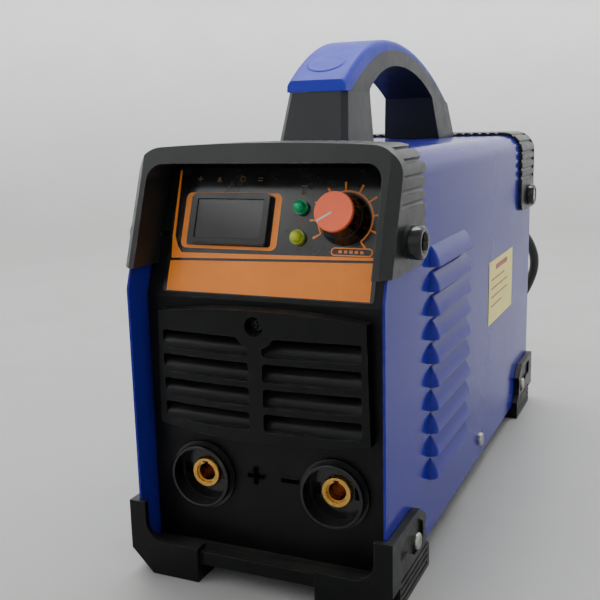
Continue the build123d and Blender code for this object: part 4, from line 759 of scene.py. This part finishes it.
def make_stage():
    """Round floor that curves up into a wall, as in a photo studio."""
    profile = [(FLOOR_R * k / FLOOR_RINGS, 0.0) for k in range(1, FLOOR_RINGS + 1)]
    for k in range(1, COVE_STEPS + 1):
        angle = math.pi / 2 * k / COVE_STEPS
        profile.append((FLOOR_R + COVE_R * math.sin(angle), COVE_R * (1 - math.cos(angle))))
    profile.append((FLOOR_R + COVE_R, WALL_TOP))
    build = bmesh.new()
    rings = []
    for r, z in profile:
        rings.append(around(build, STAGE_SIDES, lambda a: (r * math.cos(a), r * math.sin(a), z - FLOOR_DROP)))
    build.faces.new(rings[0])
    for inner, outer in zip(rings, rings[1:]):
        join_rings(build, outer, inner)
    material = stage_finish("floor_pale", linear(172, 172, 170), linear(242, 243, 242))
    floor = mesh_piece("floor", build, material, smooth=True)


def area_light(name, at, aim, size, power):
    """Softbox that faces the aim and is not seen by the camera."""
    data = bpy.data.lights.new(name, "AREA")
    data.shape = "RECTANGLE"
    data.size, data.size_y = size
    data.energy = power
    light = bpy.data.objects.new(name, data)
    scene.collection.objects.link(light)
    light.location = at
    light.visible_camera = False
    light.rotation_mode = "QUATERNION"
    light.rotation_quaternion = (Vector(aim) - Vector(at)).to_track_quat("-Z", "Y")


SKY = (0.93, 0.96, 1.0, 1.0)
SKY_SEEN, SKY_LEAST = 1.15, 0.05
# axis, where the light starts and stops to grow along it, and what it adds
SKY_SHARES = (("X", -0.3, 0.9, 0.50), ("Y", -0.2, 0.9, 0.25), ("Z", 0.1, 1.0, 0.30))


def make_world():
    """Even background for the camera, and a room that lights from the right, from behind and from above."""
    world = bpy.data.worlds.new("studio")
    scene.world = world
    world.use_nodes = True
    tree = world.node_tree
    tree.nodes.clear()

    def add(kind, **settings):
        node = tree.nodes.new(kind)
        for key, value in settings.items():
            setattr(node, key, value)
        return node

    seen, lighting = add("ShaderNodeBackground"), add("ShaderNodeBackground")
    for background in (seen, lighting):
        background.inputs["Color"].default_value = SKY
    seen.inputs["Strength"].default_value = SKY_SEEN
    split = add("ShaderNodeSeparateXYZ")
    tree.links.new(add("ShaderNodeTexCoord").outputs["Generated"], split.inputs[0])
    total = None
    for axis, low, high, share in SKY_SHARES:
        step = add("ShaderNodeMapRange")
        for socket, value in (("From Min", low), ("From Max", high), ("To Max", share)):
            step.inputs[socket].default_value = value
        tree.links.new(split.outputs[axis], step.inputs["Value"])
        joined = add("ShaderNodeMath", operation="ADD")
        tree.links.new(step.outputs["Result"], joined.inputs[0])
        if total:
            tree.links.new(total, joined.inputs[1])
        else:
            joined.inputs[1].default_value = SKY_LEAST
        total = joined.outputs["Value"]
    tree.links.new(total, lighting.inputs["Strength"])
    choose = add("ShaderNodeMixShader")
    tree.links.new(add("ShaderNodeLightPath").outputs["Is Camera Ray"], choose.inputs["Fac"])
    tree.links.new(lighting.outputs[0], choose.inputs[1])
    tree.links.new(seen.outputs[0], choose.inputs[2])
    tree.links.new(choose.outputs[0], add("ShaderNodeOutputWorld").inputs["Surface"])


make_stage()
make_world()
MIDDLE = (0.0, 0.0, 0.10)       # of the machine, where two of the lights point
area_light("overhead", (-0.35, 0.45, 1.8), MIDDLE, (1.5, 1.1), 30.0)
area_light("backdrop", (0.3, 0.5, 2.0), (-0.4, 2.0, 0.5), (1.6, 0.4), 26.0)
area_light("front_left", (-1.0, -1.1, 1.4), MIDDLE, (1.0, 0.8), 4.5)
